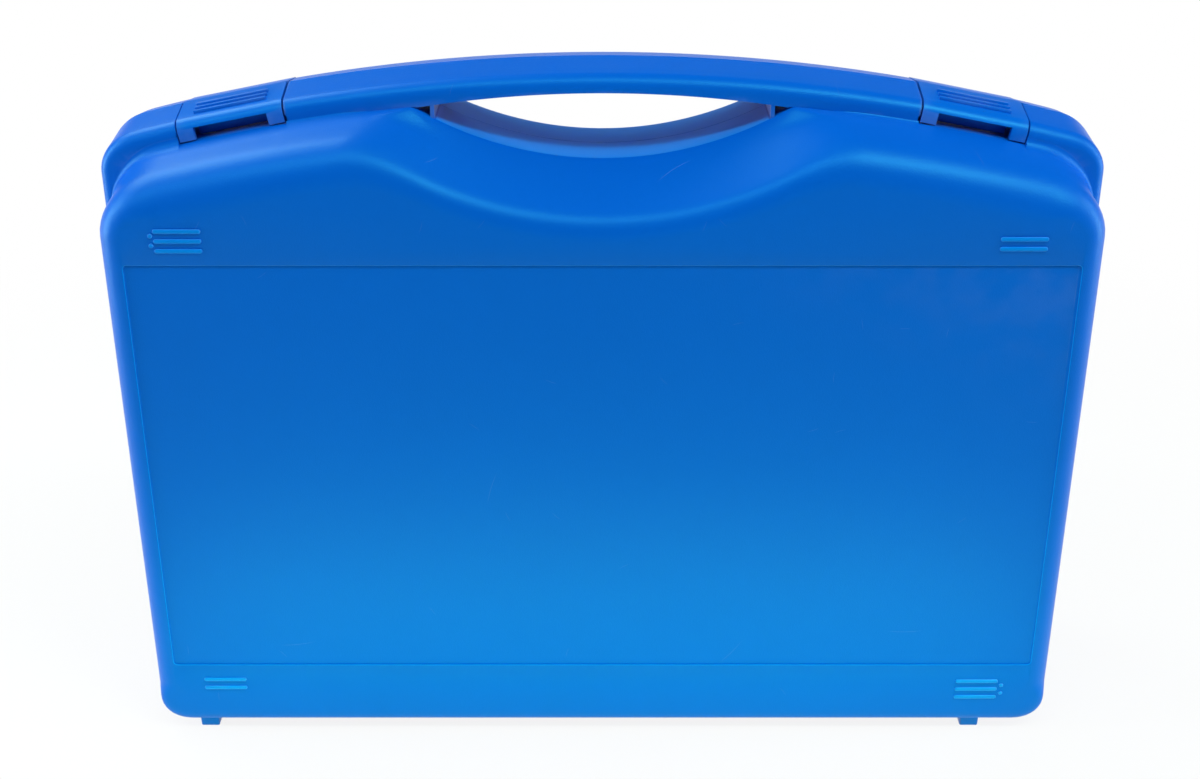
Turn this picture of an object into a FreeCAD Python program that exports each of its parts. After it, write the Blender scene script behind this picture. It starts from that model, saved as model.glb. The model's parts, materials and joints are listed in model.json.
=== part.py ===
import FreeCAD, Part
import math
import os

import Sketcher

doc = FreeCAD.newDocument("socket_set_case")
V = FreeCAD.Vector
UP_FRONT = FreeCAD.Rotation(V(1, 0, 0), 90)
ALONG_SIDE = FreeCAD.Rotation(0.5, 0.5, 0.5, 0.5)
TURN_X = FreeCAD.Rotation(V(0, 1, 0), 90)
TURN_Y = FreeCAD.Rotation(V(1, 0, 0), -90)
SIDES = {"left": -1, "right": 1}

# Driving dimensions, millimetres and degrees
DIMENSIONS = {
    # case outline
    "body_width": 400, "rim_width": 412, "shell_depth": 50, "crest_height": 297, "arch_radius": 760,
    "foot_height": 10, "wall": 2.5, "parting_gap": 0.3, "low_corner": 15, "high_corner": 30,
    "body_top": 266, "front_round": 9, "rim_corner": 20, "rim_top": 273.2, "rim_round": 4,
    "cover_radius": 600, "overcut": 1,
    # rim band, which is also the handle
    "band_depth": 21.5, "band_height": 11.5, "crown_depth": 16.44, "crown_drop": 2.6,
    "band_edge": 8.53, "band_round": 6, "hollow_drop": 7.6,
    "shelf_depth": 36.4, "shelf_drop": 15.4, "shoulder_radius": 18, "shoulder_drop": 32.9,
    # finger opening and scoop
    "floor_radius": 146, "floor_height": 260.5, "scoop_radius": 165, "under_radius": 480,
    "under_height": 287, "opening_half": 67, "rib_wall": 1.6, "window_end": 74,
    "hollow_half": 116, "scoop_wall": 3.25,
    # front panel
    "panel_width": 383, "panel_low": 35.5, "panel_high": 225, "panel_deep": 0.8,
    # feet
    "foot_width": 9, "foot_depth": 9.5, "foot_outer": 178.3, "foot_inner": 166.8, "foot_taper": 0.8,
    "foot_root": 2.4, "foot_inset": 3,
    # hinge
    "hinge_height": 4.5, "knuckle_radius": 4, "hinge_pin_radius": 1.5, "running_gap": 0.05,
    "hinge_x": 110, "knuckle_length": 14, "knuckle_gap": 0.5, "web_depth": 8, "web_root": 1.5,
    # latches
    "latch_angle": 11.4, "latch_width": 43.5, "latch_gap": 0.8, "latch_skin": 2.4, "barrel_radius": 3,
    "pivot_depth": 18.2, "pivot_drop": 6.2, "latch_pin_radius": 1.25, "latch_pin_length": 54,
    "leg_width": 6.5, "leg_drop": 11.1, "lip_drop": 6.2, "heel_drop": 9.2,
    "rib_length": 30, "rib_high": 0.7, "rib_wide": 1.6, "rib_pitch": 3.1, "rib_start": 5,
    # tray and lid pad
    "tray_front": 44.6, "tray_sheet": 2.6, "tray_width": 380, "tray_low": 20, "tray_high": 232,
    "edge_wall": 1.6, "edge_height": 14, "post_size": 12, "post_length": 12,
    "tool_gap": 0.4, "cradle_width": 12, "cradle_narrow": 4, "cheek": 2.4, "cheek_rise": 2,
    "pad_width": 370, "pad_low": 22, "pad_high": 222, "pad_thick": 22,
    # ratchet
    "head_x": -158, "ratchet_z": 207, "ratchet_depth": 19.4, "head_radius": 22, "head_half": 10,
    "gear_radius": 13, "gear_room": 14.5, "gear_low": -5.7, "gear_high": 6.7, "room_low": -6,
    "teeth": 24, "tooth_depth": 1.2,
    "plate_radius": 19.5, "plate_low": 7, "plate_thick": 2.5, "boss_radius": 9.3, "square": 12.7,
    "square_length": 18, "screw_reach": 17, "screw_radius": 1.5, "screw_head": 2.4, "screw_length": 7,
    "pawl_reach": 17.6, "pawl_radius": 4, "pawl_room": 4.5, "stem_radius": 2, "lever_radius": 5.5,
    "lever_thick": 3, "lever_arm": 13, "lever_gap": 0.3, "button_radius": 4, "button_top": 12,
    "button_low": 7.4, "neck_radius": 9.5, "neck_length": 60,
    "shank_radius": 7.5, "shank_length": 220, "grip_radius": 13,
    "grip_start": 112, "grip_length": 112, "grip_edge": 3, "groove_half": 3, "groove_deep": 1.2,
    "ball_radius": 1.8, "ball_proud": 0.8, "ball_reach": 9,
    # bars and sockets
    "bar_depth": 24, "bar_radius": 6.5, "collar_radius": 11, "collar_length": 32, "collar_taper": 6,
    "long_length": 250, "long_x": -180, "long_z": 172, "short_length": 75, "short_x": 100, "short_z": 207,
    "tee_length": 250, "tee_x": -180, "tee_z": 143, "tee_head_radius": 11, "tee_square": 14,
    "ring_radius": 8.2, "ring_width": 1.6, "ring_inset": 4, "ring_deep": 1,
    "plug_length": 65, "plug_x": 102, "plug_z": 168, "plug_radius": 13, "plug_hex": 21, "plug_stop": 3,
    "insert_radius": 10, "insert_bore": 6.5, "insert_length": 18,
    "socket_front": 6.3, "socket_length": 38, "socket_pitch": 64, "upper_row": 88, "lower_row": 45,
    "hex_deep": 22, "drive_deep": 17, "hex_slack": 0.2, "socket_edge": 0.8,
}

# Outside diameter of each socket, by its size across the flats
SOCKETS = {24: 32, 22: 30, 21: 28, 19: 26, 18: 25.5, 17: 24,
           16: 23, 15: 22, 14: 22, 13: 22, 12: 22, 10: 22}
LATCH_RIBS = 3
GRIP_GROOVES = 6
DIMENSIONS.update({"outside_%d" % size: outside for size, outside in SOCKETS.items()})
DIMENSIONS.update({"flats_%d" % size: size for size in SOCKETS})

sheet = doc.addObject("Spreadsheet::Sheet", "d")
for row, (alias, size) in enumerate(DIMENSIONS.items(), 1):
    sheet.set("A%d" % row, alias)
    sheet.set("B%d" % row, str(size))
    sheet.setAlias("B%d" % row, alias)
doc.recompute()


def value(expression):
    """The number that a sheet expression stands for."""
    found = sheet.evalExpression(str(expression))
    return float(getattr(found, "Value", found))


def bind(thing, **expressions):
    """Bind properties of an object to sheet expressions."""
    for name, expression in expressions.items():
        thing.setExpression(name, str(expression))
    return thing


def put(thing, x=0, y=0, z=0, rotation=None):
    """Place an object at sheet expressions, turned as given."""
    if rotation is not None:
        thing.Placement = FreeCAD.Placement(V(0, 0, 0), rotation)
    for name, expression in zip("xyz", (x, y, z)):
        thing.setExpression("Placement.Base." + name, str(expression))
    return thing


def box(name, size, low):
    """A box by its size and lowest corner."""
    made = doc.addObject("Part::Box", name)
    bind(made, Length=size[0], Width=size[1], Height=size[2])
    return put(made, *low)


def rod(name, radius, length, start, rotation=None):
    """A cylinder from its start, along Z unless turned."""
    made = doc.addObject("Part::Cylinder", name)
    bind(made, Radius=radius, Height=length)
    return put(made, *start, rotation=rotation)


def cut(name, base, *tools):
    """A base with the tools taken away."""
    made = doc.addObject("Part::Cut", name)
    made.Base = base
    made.Tool = tools[0] if len(tools) == 1 else fuse(name + "_tools", *tools)
    return made


def fuse(name, *pieces):
    """Pieces joined into one solid."""
    made = doc.addObject("Part::MultiFuse", name)
    made.Shapes = list(pieces)
    return made


def gathered(name, pieces):
    """Separate solids under one name."""
    group = doc.addObject("Part::Compound", name)
    group.Links = pieces
    return group


def common(name, first, second):
    """What two solids share."""
    made = doc.addObject("Part::Common", name)
    made.Base = first
    made.Tool = second
    return made


def arc_between(start, end, radius):
    """An arc from start to end; a positive radius keeps the centre on the left of the way."""
    chord = end - start
    half = chord.Length / 2
    left = V(-chord.y, chord.x, 0).normalize()
    rise = math.sqrt(radius * radius - half * half)
    centre = (start + end) / 2 + left * (rise if radius > 0 else -rise)
    first, last = (start, end) if radius > 0 else (end, start)
    angles = [math.atan2(p.y - centre.y, p.x - centre.x) for p in (first, last)]
    circle = Part.Circle(centre, V(0, 0, 1), abs(radius))
    return Part.ArcOfCircle(circle, angles[0], angles[1])


def draw(sketch, corners):
    """Draw a closed outline of (x, y) or (x, y, radius) corners in a sketch, bound to the sheet.

    A radius bows the edge that leaves its corner, and its sign says on which side the centre is.
    """
    points = [V(value(c[0]), value(c[1]), 0) for c in corners]
    ends = []
    for index, corner in enumerate(corners):
        start, end = points[index], points[(index + 1) % len(points)]
        if len(corner) == 2:
            sketch.addGeometry(Part.LineSegment(start, end), False)
            ends.append((1, 2))
            continue
        radius = value(corner[2])
        sketch.addGeometry(arc_between(start, end, radius), False)
        ends.append((1, 2) if radius > 0 else (2, 1))
        bound = sketch.addConstraint(Sketcher.Constraint("Radius", index, abs(radius)))
        sketch.setExpression("Constraints[%d]" % bound, "abs(%s)" % corner[2])
    for index, corner in enumerate(corners):
        before = index - 1 if index else len(corners) - 1
        joined = Sketcher.Constraint("Coincident", before, ends[before][1], index, ends[index][0])
        sketch.addConstraint(joined)
        for kind, expression in zip(("DistanceX", "DistanceY"), corner):
            fixed = Sketcher.Constraint(kind, -1, 1, index, ends[index][0], value(expression))
            bound = sketch.addConstraint(fixed)
            sketch.setExpression("Constraints[%d]" % bound, str(expression))
    return sketch


def outline(name, corners, rotation):
    """A free sketch of an outline, on the plane that the rotation gives."""
    sketch = doc.addObject("Sketcher::SketchObject", name)
    sketch.Placement = FreeCAD.Placement(V(0, 0, 0), rotation)
    return draw(sketch, corners)


def plane_of(body, role):
    """One of a body's own origin planes."""
    return next(f for f in body.Origin.OriginFeatures if f.Role == role)


def body_sketch(body, name, role, corners):
    """A sketch of an outline on one of a body's own planes."""
    sketch = body.newObject("Sketcher::SketchObject", name)
    sketch.AttachmentSupport = [(plane_of(body, role), "")]
    sketch.MapMode = "FlatFace"
    return draw(sketch, corners)


def extrude(name, sketch, length, both=False):
    """A sketch drawn out along its normal."""
    made = doc.addObject("Part::Extrusion", name)
    made.Base = sketch
    made.DirMode = "Normal"
    made.Solid = True
    made.Symmetric = both
    return bind(made, LengthFwd=length)


ARCH_CENTRE = "d.crest_height - d.arch_radius"
SWEEP_DEGREES = 60


def arch(name, corners, degrees=SWEEP_DEGREES):
    """A depth and drop section, swept round the arch that the top of the case follows."""
    heights = [(c[0], "d.crest_height - (%s)" % c[1]) + tuple(c[2:]) for c in corners]
    section = outline(name + "_section", heights, ALONG_SIDE)
    made = doc.addObject("Part::Revolution", name)
    made.Source = section
    made.Axis = V(0, 1, 0)
    made.Symmetric = True
    made.Solid = True
    made.Angle = degrees
    made.setExpression("Base.z", ARCH_CENTRE)
    return made


def rounded_form(name, half_width, low, low_corner, top, high_corner, depth, edge_round):
    """A block with the case's front outline, rounded along its front edges."""
    body = doc.addObject("PartDesign::Body", name)
    inner = "%s - %s" % (half_width, low_corner)
    upper = "%s - %s" % (half_width, high_corner)
    corners = [
        ("-(%s)" % inner, low),
        (inner, low, low_corner),
        (half_width, "%s + %s" % (low, low_corner)),
        (half_width, "%s - %s" % (top, high_corner), high_corner),
        (upper, top, "d.cover_radius"),
        ("-(%s)" % upper, top, high_corner),
        ("-(%s)" % half_width, "%s - %s" % (top, high_corner)),
        ("-(%s)" % half_width, "%s + %s" % (low, low_corner), low_corner),
    ]
    pad = body.newObject("PartDesign::Pad", name + "_pad")
    pad.Profile = body_sketch(body, name + "_outline", "XZ_Plane", corners)
    bind(pad, Length=depth)
    doc.recompute()
    faces = pad.Shape.Faces
    front = min(range(len(faces)), key=lambda index: faces[index].CenterOfMass.y)
    rounding = body.newObject("PartDesign::Fillet", name + "_rounding")
    rounding.Base = (pad, ["Face%d" % (front + 1)])
    bind(rounding, Radius=edge_round)
    return put(body, y="-d.parting_gap / 2")


def on_rim(thing, side, along=0, depth=0, rise=0, rotation=None):
    """Place a thing on the rim at a latch, leaning as the arch leans there."""
    lean = "(%d * d.latch_angle)" % side
    reach = "(d.arch_radius + (%s))" % rise
    tilt = FreeCAD.Rotation(V(0, 1, 0), value(lean))
    x = "%s * sin(%s) + (%s) * cos(%s)" % (reach, lean, along, lean)
    z = "%s + %s * cos(%s) - (%s) * sin(%s)" % (ARCH_CENTRE, reach, lean, along, lean)
    return put(thing, x, depth, z, tilt * rotation if rotation else tilt)


# One moulded half of the case: arched band, shelf, shoulder, scoop and finger opening
DEEP = 310
HALF_BODY = "d.body_width / 2"
HALF_RIM = "d.rim_width / 2"
FLOOR_CENTRE = "d.floor_height + d.floor_radius"
SHELF_RUN = "(d.shelf_depth - d.band_depth)"
SHELF_FALL = "(d.shelf_drop - d.band_height)"
SHELF_LENGTH = "sqrt(%s ^ 2 + %s ^ 2)" % (SHELF_RUN, SHELF_FALL)


def body_section(inset):
    """Depth and drop corners of the body under the band, inset for its inside."""
    shelf_end = ("-d.shelf_depth + %s * %s / %s" % (inset, SHELF_FALL, SHELF_LENGTH),
                 "d.shelf_drop + %s * %s / %s" % (inset, SHELF_RUN, SHELF_LENGTH))
    return [
        (0, "d.band_height + %s" % inset),
        ("-d.band_depth", "d.band_height + %s" % inset),
        shelf_end + ("d.shoulder_radius - %s" % inset,),
        ("-d.shell_depth + %s" % inset, "d.shoulder_drop"),
        ("-d.shell_depth + %s" % inset, DEEP),
        (0, DEEP),
    ]


def floor_at(x):
    """Height of the finger opening's floor at a distance from the middle."""
    return "%s - sqrt(d.floor_radius ^ 2 - (%s) ^ 2)" % (FLOOR_CENTRE, x)


def under_at(x):
    """Height of the handle's underside at a distance from the middle."""
    return "d.under_height - d.under_radius + sqrt(d.under_radius ^ 2 - (%s) ^ 2)" % x


def opening(name, start, end):
    """The part of the finger opening between two distances from the middle, right through the band."""
    corners = [
        (start, floor_at(start), "d.floor_radius"),
        (end, floor_at(end)),
        (end, under_at(end), "d.under_radius"),
        (start, under_at(start)),
    ]
    through = "2 * (d.band_depth + d.overcut)"
    return extrude(name, outline(name + "_outline", corners, UP_FRONT), through, both=True)


def scoop(name, extra):
    """The dished recess in front of the finger opening, grown by a wall for the inside."""
    made = doc.addObject("Part::Cone", name)
    slope = "(d.scoop_radius - d.floor_radius) / (d.shell_depth - d.band_depth)"
    length = "(d.shell_depth - d.band_depth + d.wall)"
    bind(made, Radius1="d.floor_radius + %s" % extra, Height=length,
         Radius2="d.floor_radius + %s + %s * %s" % (extra, slope, length))
    return put(made, 0, "-d.band_depth", FLOOR_CENTRE, UP_FRONT)


def latch_notch(side):
    """The gap in the band that a latch fills."""
    width = "(d.latch_width + 2 * d.latch_gap)"
    made = doc.addObject("Part::Box", "latch_notch_%s" % side)
    bind(made, Length=width, Width="2 * d.shell_depth", Height="2 * d.band_height")
    return on_rim(made, SIDES[side], "-%s / 2" % width, "-d.shell_depth", "-d.band_height")


def case_half():
    """The front half as moulded, before its feet and knuckles."""
    body = common("body_block", arch("body_arch", body_section("0")),
                  rounded_form("body_form", HALF_BODY, "d.foot_height", "d.low_corner", "d.body_top",
                               "d.high_corner", "d.shell_depth", "d.front_round"))
    band_section = [
        (0, 0),
        ("-d.crown_depth", "d.crown_drop", "d.band_round"),
        ("-d.band_depth", "d.band_edge"),
        ("-d.band_depth", DEEP),
        (0, DEEP),
    ]
    band = common("band_block", arch("band_arch", band_section),
                  rounded_form("rim_form", HALF_RIM, "d.foot_height", "d.low_corner", "d.rim_top",
                               "d.rim_corner", "d.band_depth", "d.rim_round"))
    inside = common("inside_block", arch("inside_arch", body_section("d.wall")),
                    rounded_form("inside_form", "(%s - d.wall)" % HALF_BODY, "(d.foot_height + d.wall)",
                                 "(d.low_corner - d.wall)", "d.body_top", "d.high_corner",
                                 "(d.shell_depth - d.wall)", "(d.front_round - d.wall)"))
    floor_wall = rod("floor_wall", "d.floor_radius + d.wall", "d.band_depth + d.wall",
                     (0, 0, FLOOR_CENTRE), UP_FRONT)
    cavity = cut("cavity", inside, scoop("scoop_inside", "d.scoop_wall"), floor_wall)
    hollow_section = [
        (0, "d.wall"),
        ("-d.crown_depth", "d.crown_drop + d.wall"),
        ("-d.band_depth + d.wall", "d.hollow_drop"),
        (0, "d.hollow_drop"),
    ]
    hollow_sweep = 2 * math.degrees(math.asin(value("d.hollow_half / d.arch_radius")))
    handle_hollow = arch("handle_hollow", hollow_section, hollow_sweep)
    panel = box("panel_recess", ("d.panel_width", "2 * d.panel_deep", "d.panel_high - d.panel_low"),
                ("-d.panel_width / 2", "-d.shell_depth - d.panel_deep", "d.panel_low"))
    gaps = [
        opening("finger_opening", "-d.opening_half", "d.opening_half"),
        opening("right_window", "d.opening_half + d.rib_wall", "d.window_end"),
        opening("left_window", "-d.window_end", "-d.opening_half - d.rib_wall"),
        scoop("scoop", "0"),
        latch_notch("left"),
        latch_notch("right"),
    ]
    outside = fuse("outside", body, band)
    split = box("parting_slab", ("d.rim_width", "d.parting_gap", "d.crest_height"),
                ("-d.rim_width / 2", "-d.parting_gap / 2", 0))
    return cut("case_half", outside, *gaps, cavity, handle_hollow, panel, split)


def feet(name, front, outer_side):
    """A shell's two feet, the outer one on the given side so that the feet of both halves pass when open."""
    made = []
    for place, side in (("d.foot_outer", outer_side), ("d.foot_inner", -outer_side)):
        foot = doc.addObject("Part::Wedge", "%s_%d" % (name, side))
        narrow = "d.foot_width / 2 - d.foot_taper / 2"
        bind(foot, Xmin="-d.foot_width / 2", Xmax="d.foot_width / 2", X2min="-(%s)" % narrow, X2max=narrow,
             Ymin=0, Ymax="d.foot_height + d.foot_root", Zmin=0, Zmax="d.foot_depth",
             Z2min="d.foot_taper / 2", Z2max="d.foot_depth - d.foot_taper / 2")
        depth = "-d.shell_depth + d.foot_inset" if front else "d.shell_depth - d.foot_inset - d.foot_depth"
        made.append(put(foot, "%d * %s" % (side, place), depth, "d.foot_height + d.foot_root", TURN_Y))
    return made


def knuckle(name, start, side):
    """A hinge knuckle on the bottom edge of one shell, with the web that carries it."""
    axis = (start, 0, "d.hinge_height")
    barrel = rod(name + "_barrel", "d.knuckle_radius", "d.knuckle_length", axis, TURN_X)
    near = "-d.web_depth" if side < 0 else "d.parting_gap / 2"
    rise = "d.foot_height + d.web_root - d.hinge_height"
    web = box(name + "_web", ("d.knuckle_length", "d.web_depth - d.parting_gap / 2", rise),
              (start, near, "d.hinge_height"))
    return fuse(name, barrel, web)


def hinge_bore(name, radius):
    """Round bars along the hinge line, for bores."""
    return rod(name, radius, "d.rim_width", ("-d.rim_width / 2", 0, "d.hinge_height"), TURN_X)


KNUCKLE_STEP = "(d.knuckle_length + d.knuckle_gap)"
front_half = case_half()

rear_half = doc.addObject("Part::Mirroring", "rear_half")
rear_half.Source = front_half
rear_half.Normal = V(0, 1, 0)

lid_knuckles = []
base_knuckles = []
for word, side in SIDES.items():
    middle = "%d * d.hinge_x - d.knuckle_length / 2" % side
    base_knuckles.append(knuckle("base_knuckle_%s" % word, middle, 1))
    for step in (-1, 1):
        start = "%s + %d * %s" % (middle, step, KNUCKLE_STEP)
        lid_knuckles.append(knuckle("lid_knuckle_%s_%d" % (word, step + 1), start, -1))

front_joined = fuse("front_joined", front_half, *feet("front_foot", True, -1), *lid_knuckles)
front_shell = cut("front_shell", front_joined, hinge_bore("lid_bore", "d.hinge_pin_radius + d.running_gap"))


def latch_rod(name, side, radius):
    """A round bar along a latch's pivot."""
    made = doc.addObject("Part::Cylinder", name)
    bind(made, Radius=radius, Height="d.latch_pin_length")
    return on_rim(made, side, "-d.latch_pin_length / 2", "d.pivot_depth", "-d.pivot_drop", TURN_X)


latch_pins = [latch_rod("%s_latch_pin" % word, side, "d.latch_pin_radius") for word, side in SIDES.items()]
pin_seats = [latch_rod("%s_pin_seat" % word, side, "d.latch_pin_radius") for word, side in SIDES.items()]
rear_joined = fuse("rear_joined", rear_half, *feet("rear_foot", False, 1), *base_knuckles)
rear_shell = cut("rear_shell", rear_joined, hinge_bore("base_bore", "d.hinge_pin_radius"), *pin_seats)

hinge_pins = []
HINGE_LENGTH = "3 * d.knuckle_length + 2 * d.knuckle_gap"
for word, side in SIDES.items():
    start = "%d * d.hinge_x - d.knuckle_length / 2 - %s" % (side, KNUCKLE_STEP)
    axis = (start, 0, "d.hinge_height")
    hinge_pins.append(rod("%s_hinge_pin" % word, "d.hinge_pin_radius", HINGE_LENGTH, axis, TURN_X))


def crown_at(depth):
    """Drop of the rim's sloping crown at a depth from the parting line."""
    return "(%s) * d.crown_drop / d.crown_depth" % depth


def latch(word):
    """A latch flap that follows the rim, with a cut-out lip, two legs, grip ribs and a pivot bore."""
    body = doc.addObject("PartDesign::Body", word + "_latch")
    inner = "d.pivot_depth - d.barrel_radius"
    corners = [
        ("-d.band_depth", "-d.leg_drop"),
        ("-d.band_depth + d.latch_skin", "-d.leg_drop"),
        ("-d.band_depth + d.latch_skin", "-d.band_edge", "-(d.band_round - d.latch_skin)"),
        ("-d.crown_depth", "-d.crown_drop - d.latch_skin"),
        (0, "-d.latch_skin"),
        (inner, "-%s - d.latch_skin" % crown_at(inner)),
        (inner, "-d.heel_drop"),
        ("d.band_depth", "-d.heel_drop"),
        ("d.band_depth", "-d.band_edge", "d.band_round"),
        ("d.crown_depth", "-d.crown_drop"),
        (0, 0),
        ("-d.crown_depth", "-d.crown_drop", "d.band_round"),
        ("-d.band_depth", "-d.band_edge"),
    ]
    flap = body.newObject("PartDesign::Pad", word + "_flap")
    flap.Profile = body_sketch(body, word + "_flap_section", "YZ_Plane", corners)
    flap.Midplane = True
    bind(flap, Length="d.latch_width")
    half_gap = "d.latch_width / 2 - d.leg_width"
    lip = [("-(%s)" % half_gap, "-2 * d.leg_drop"), (half_gap, "-2 * d.leg_drop"),
           (half_gap, "-d.lip_drop"), ("-(%s)" % half_gap, "-d.lip_drop")]
    cut_out = body.newObject("PartDesign::Pocket", word + "_lip")
    cut_out.Profile = body_sketch(body, word + "_lip_outline", "XZ_Plane", lip)
    cut_out.Reversed = True
    bind(cut_out, Length="d.shell_depth")
    for index in range(LATCH_RIBS):
        near = "(-d.rib_start - %d * d.rib_pitch)" % index
        far = "(%s - d.rib_wide)" % near
        ridge = [(far, crown_at(far)), (near, crown_at(near)),
                 (near, "%s + d.rib_high" % crown_at(near)), (far, "%s + d.rib_high" % crown_at(far))]
        rib = body.newObject("PartDesign::Pad", "%s_rib_%d" % (word, index))
        rib.Profile = body_sketch(body, "%s_rib_section_%d" % (word, index), "YZ_Plane", ridge)
        rib.Midplane = True
        bind(rib, Length="d.rib_length")
    bore = rod(word + "_latch_bore", "d.latch_pin_radius + d.running_gap", "2 * d.latch_width",
               ("-d.latch_width", "d.pivot_depth", "-d.pivot_drop"), TURN_X)
    made = cut(word + "_latch_bored", body, bore)
    return on_rim(made, SIDES[word])


latches = {word: latch(word) for word in SIDES}


# Ratchet, lying in the tray with its head's axis along the depth and its drive square to the back
HEAD = ("d.head_x", "d.ratchet_depth", "d.ratchet_z")
PAST_PLATE = "d.head_half + d.overcut"
PLATE_TOP = "d.plate_low + d.plate_thick"
SCREW_END = "d.plate_low - d.screw_length"


def head_rod(name, radius, near, far, along=0, up=0):
    """A round bar in the ratchet's head, between two depths from the head's middle."""
    start = ("%s + (%s)" % (HEAD[0], along), "%s + (%s)" % (HEAD[1], near), "%s + (%s)" % (HEAD[2], up))
    return rod(name, radius, "(%s) - (%s)" % (far, near), start, TURN_Y)


def lathe(name, corners, start, rotation=TURN_X):
    """A turned piece: (distance, radius) corners round an axis along X unless turned otherwise."""
    profile = outline(name + "_profile", [(c[1], c[0]) for c in corners], UP_FRONT)
    made = doc.addObject("Part::Revolution", name)
    made.Source = profile
    made.Axis = V(0, 0, 1)
    made.Angle = 360
    made.Solid = True
    return put(made, *start, rotation=rotation)


def ratchet_body():
    """Forged head, neck and shank, with room for the gear, the pawl and the plate."""
    corners = [(0, 0), ("d.shank_length", 0), ("d.shank_length", "d.shank_radius"),
               ("d.neck_length", "d.shank_radius"), ("d.head_radius", "d.neck_radius"), (0, "d.neck_radius")]
    neck = cut("ratchet_neck", lathe("neck_turned", corners, HEAD),
               head_rod("neck_clear", "d.head_radius - d.wall", "-d.head_half", "d.head_half"))
    head = fuse("ratchet_head", head_rod("head_disc", "d.head_radius", "-d.head_half", "d.head_half"), neck)
    screws = [head_rod("screw_hole_%d" % side, "d.screw_radius", SCREW_END, "d.head_half",
                       up="%d * d.screw_reach" % side) for side in (-1, 1)]
    return cut("ratchet_body", head,
               head_rod("gear_room", "d.gear_room", "d.room_low", PAST_PLATE),
               head_rod("plate_room", "d.plate_radius", "d.plate_low", PAST_PLATE),
               head_rod("pawl_room", "d.pawl_room", "d.room_low", "d.plate_low", along="d.pawl_reach"),
               head_rod("stem_hole", "d.stem_radius + d.running_gap", "-(%s)" % PAST_PLATE, "d.room_low",
                        along="d.pawl_reach"),
               head_rod("button_hole", "d.button_radius + d.running_gap", "-(%s)" % PAST_PLATE, "d.room_low"),
               *screws)


def ratchet_gear():
    """Toothed drive wheel with its boss, drive square and ball seat in one piece."""
    tip = value("d.gear_radius")
    root = tip - value("d.tooth_depth")
    count = int(value("d.teeth"))
    corners = []
    for tooth in range(count):
        for turn, reach in ((0, root), (0.5, tip)):
            angle = 2 * math.pi * (tooth + turn) / count
            corners.append(V(reach * math.cos(angle), reach * math.sin(angle), 0))
    wheel = doc.addObject("Part::Feature", "gear_wheel")
    ring = Part.Face(Part.makePolygon(corners + corners[:1]))
    wheel.Shape = ring.extrude(V(0, 0, value("d.gear_high - d.gear_low")))
    put(wheel, HEAD[0], "%s + d.gear_low" % HEAD[1], HEAD[2], TURN_Y)
    boss = head_rod("gear_boss", "d.boss_radius", "d.gear_high - d.overcut", "d.head_half")
    square = box("drive_square", ("d.square", "d.square_length", "d.square"),
                 ("%s - d.square / 2" % HEAD[0], "%s + d.gear_high" % HEAD[1], "%s - d.square / 2" % HEAD[2]))
    seat = ball_seat("ball_seat", BALL_PLACE)
    return cut("ratchet_gear", fuse("gear_joined", wheel, boss, square), seat)


def ball_seat(name, place):
    """The round hole that a ball sits at the bottom of."""
    return rod(name, "d.ball_radius", "d.square", place[:2] + ("%s - d.ball_radius" % place[2],))


def ball(name, place):
    """A spring ball that stands a little proud of a drive square."""
    made = doc.addObject("Part::Sphere", name)
    bind(made, Radius="d.ball_radius")
    return put(made, *place)


BALL_PLACE = (HEAD[0], "%s + d.gear_high + d.ball_reach" % HEAD[1],
              "%s + d.square / 2 - d.ball_radius + d.ball_proud" % HEAD[2])


def cover_plate():
    """Round plate that closes the head round the drive boss."""
    holes = [head_rod("plate_hole_%d" % side, "d.screw_head", SCREW_END, PAST_PLATE,
                      up="%d * d.screw_reach" % side) for side in (-1, 1)]
    bore = head_rod("plate_bore", "d.boss_radius + d.running_gap", SCREW_END, PAST_PLATE)
    disc = head_rod("plate_disc", "d.plate_radius", "d.plate_low", PLATE_TOP)
    return cut("ratchet_cover_plate", disc, bore, *holes)


def cover_screws():
    """The two plate screws, heads flush with the plate."""
    made = []
    for side in (-1, 1):
        up = "%d * d.screw_reach" % side
        head = head_rod("screw_head_%d" % side, "d.screw_head", "d.plate_low", PLATE_TOP, up=up)
        stem = head_rod("screw_stem_%d" % side, "d.screw_radius", SCREW_END, PLATE_TOP, up=up)
        made.append(fuse("cover_screw_%d" % side, head, stem))
    return gathered("ratchet_cover_screws", made)


def reverse_lever():
    """Thumb lever on its stem, over the front of the head."""
    under = "-d.head_half - d.lever_gap"
    top = "%s - d.lever_thick" % under
    disc = head_rod("lever_disc", "d.lever_radius", top, under, along="d.pawl_reach")
    stem = head_rod("lever_stem", "d.stem_radius", top, "d.room_low + d.lever_gap", along="d.pawl_reach")
    low = ("%s + d.pawl_reach" % HEAD[0], "%s + (%s)" % (HEAD[1], top), "%s - d.lever_radius / 2" % HEAD[2])
    arm = box("lever_arm", ("d.lever_arm", "d.lever_thick", "d.lever_radius"), low)
    return fuse("reverse_lever", disc, stem, arm)


def grip():
    """Sleeve with finger grooves, turned round the shank."""
    step = "d.grip_length / %d" % (GRIP_GROOVES + 2)
    dip = "d.grip_radius - d.groove_deep"
    edge = "d.grip_radius - d.grip_edge"
    corners = [(0, "d.shank_radius"), ("d.grip_length", "d.shank_radius"),
               ("d.grip_length", edge), ("d.grip_length - d.grip_edge", "d.grip_radius")]
    for turn in range(GRIP_GROOVES, 0, -1):
        corners.append(("%d * %s + d.groove_half" % (turn, step), "d.grip_radius"))
        corners.append(("%d * %s" % (turn, step), dip))
        corners.append(("%d * %s - d.groove_half" % (turn, step), "d.grip_radius"))
    corners.append(("d.grip_edge", "d.grip_radius"))
    corners.append((0, edge))
    return lathe("grip_sleeve", corners, ("%s + d.grip_start" % HEAD[0], HEAD[1], HEAD[2]))


DRIVE_WIDTH = "(d.square + d.hex_slack)"


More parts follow.
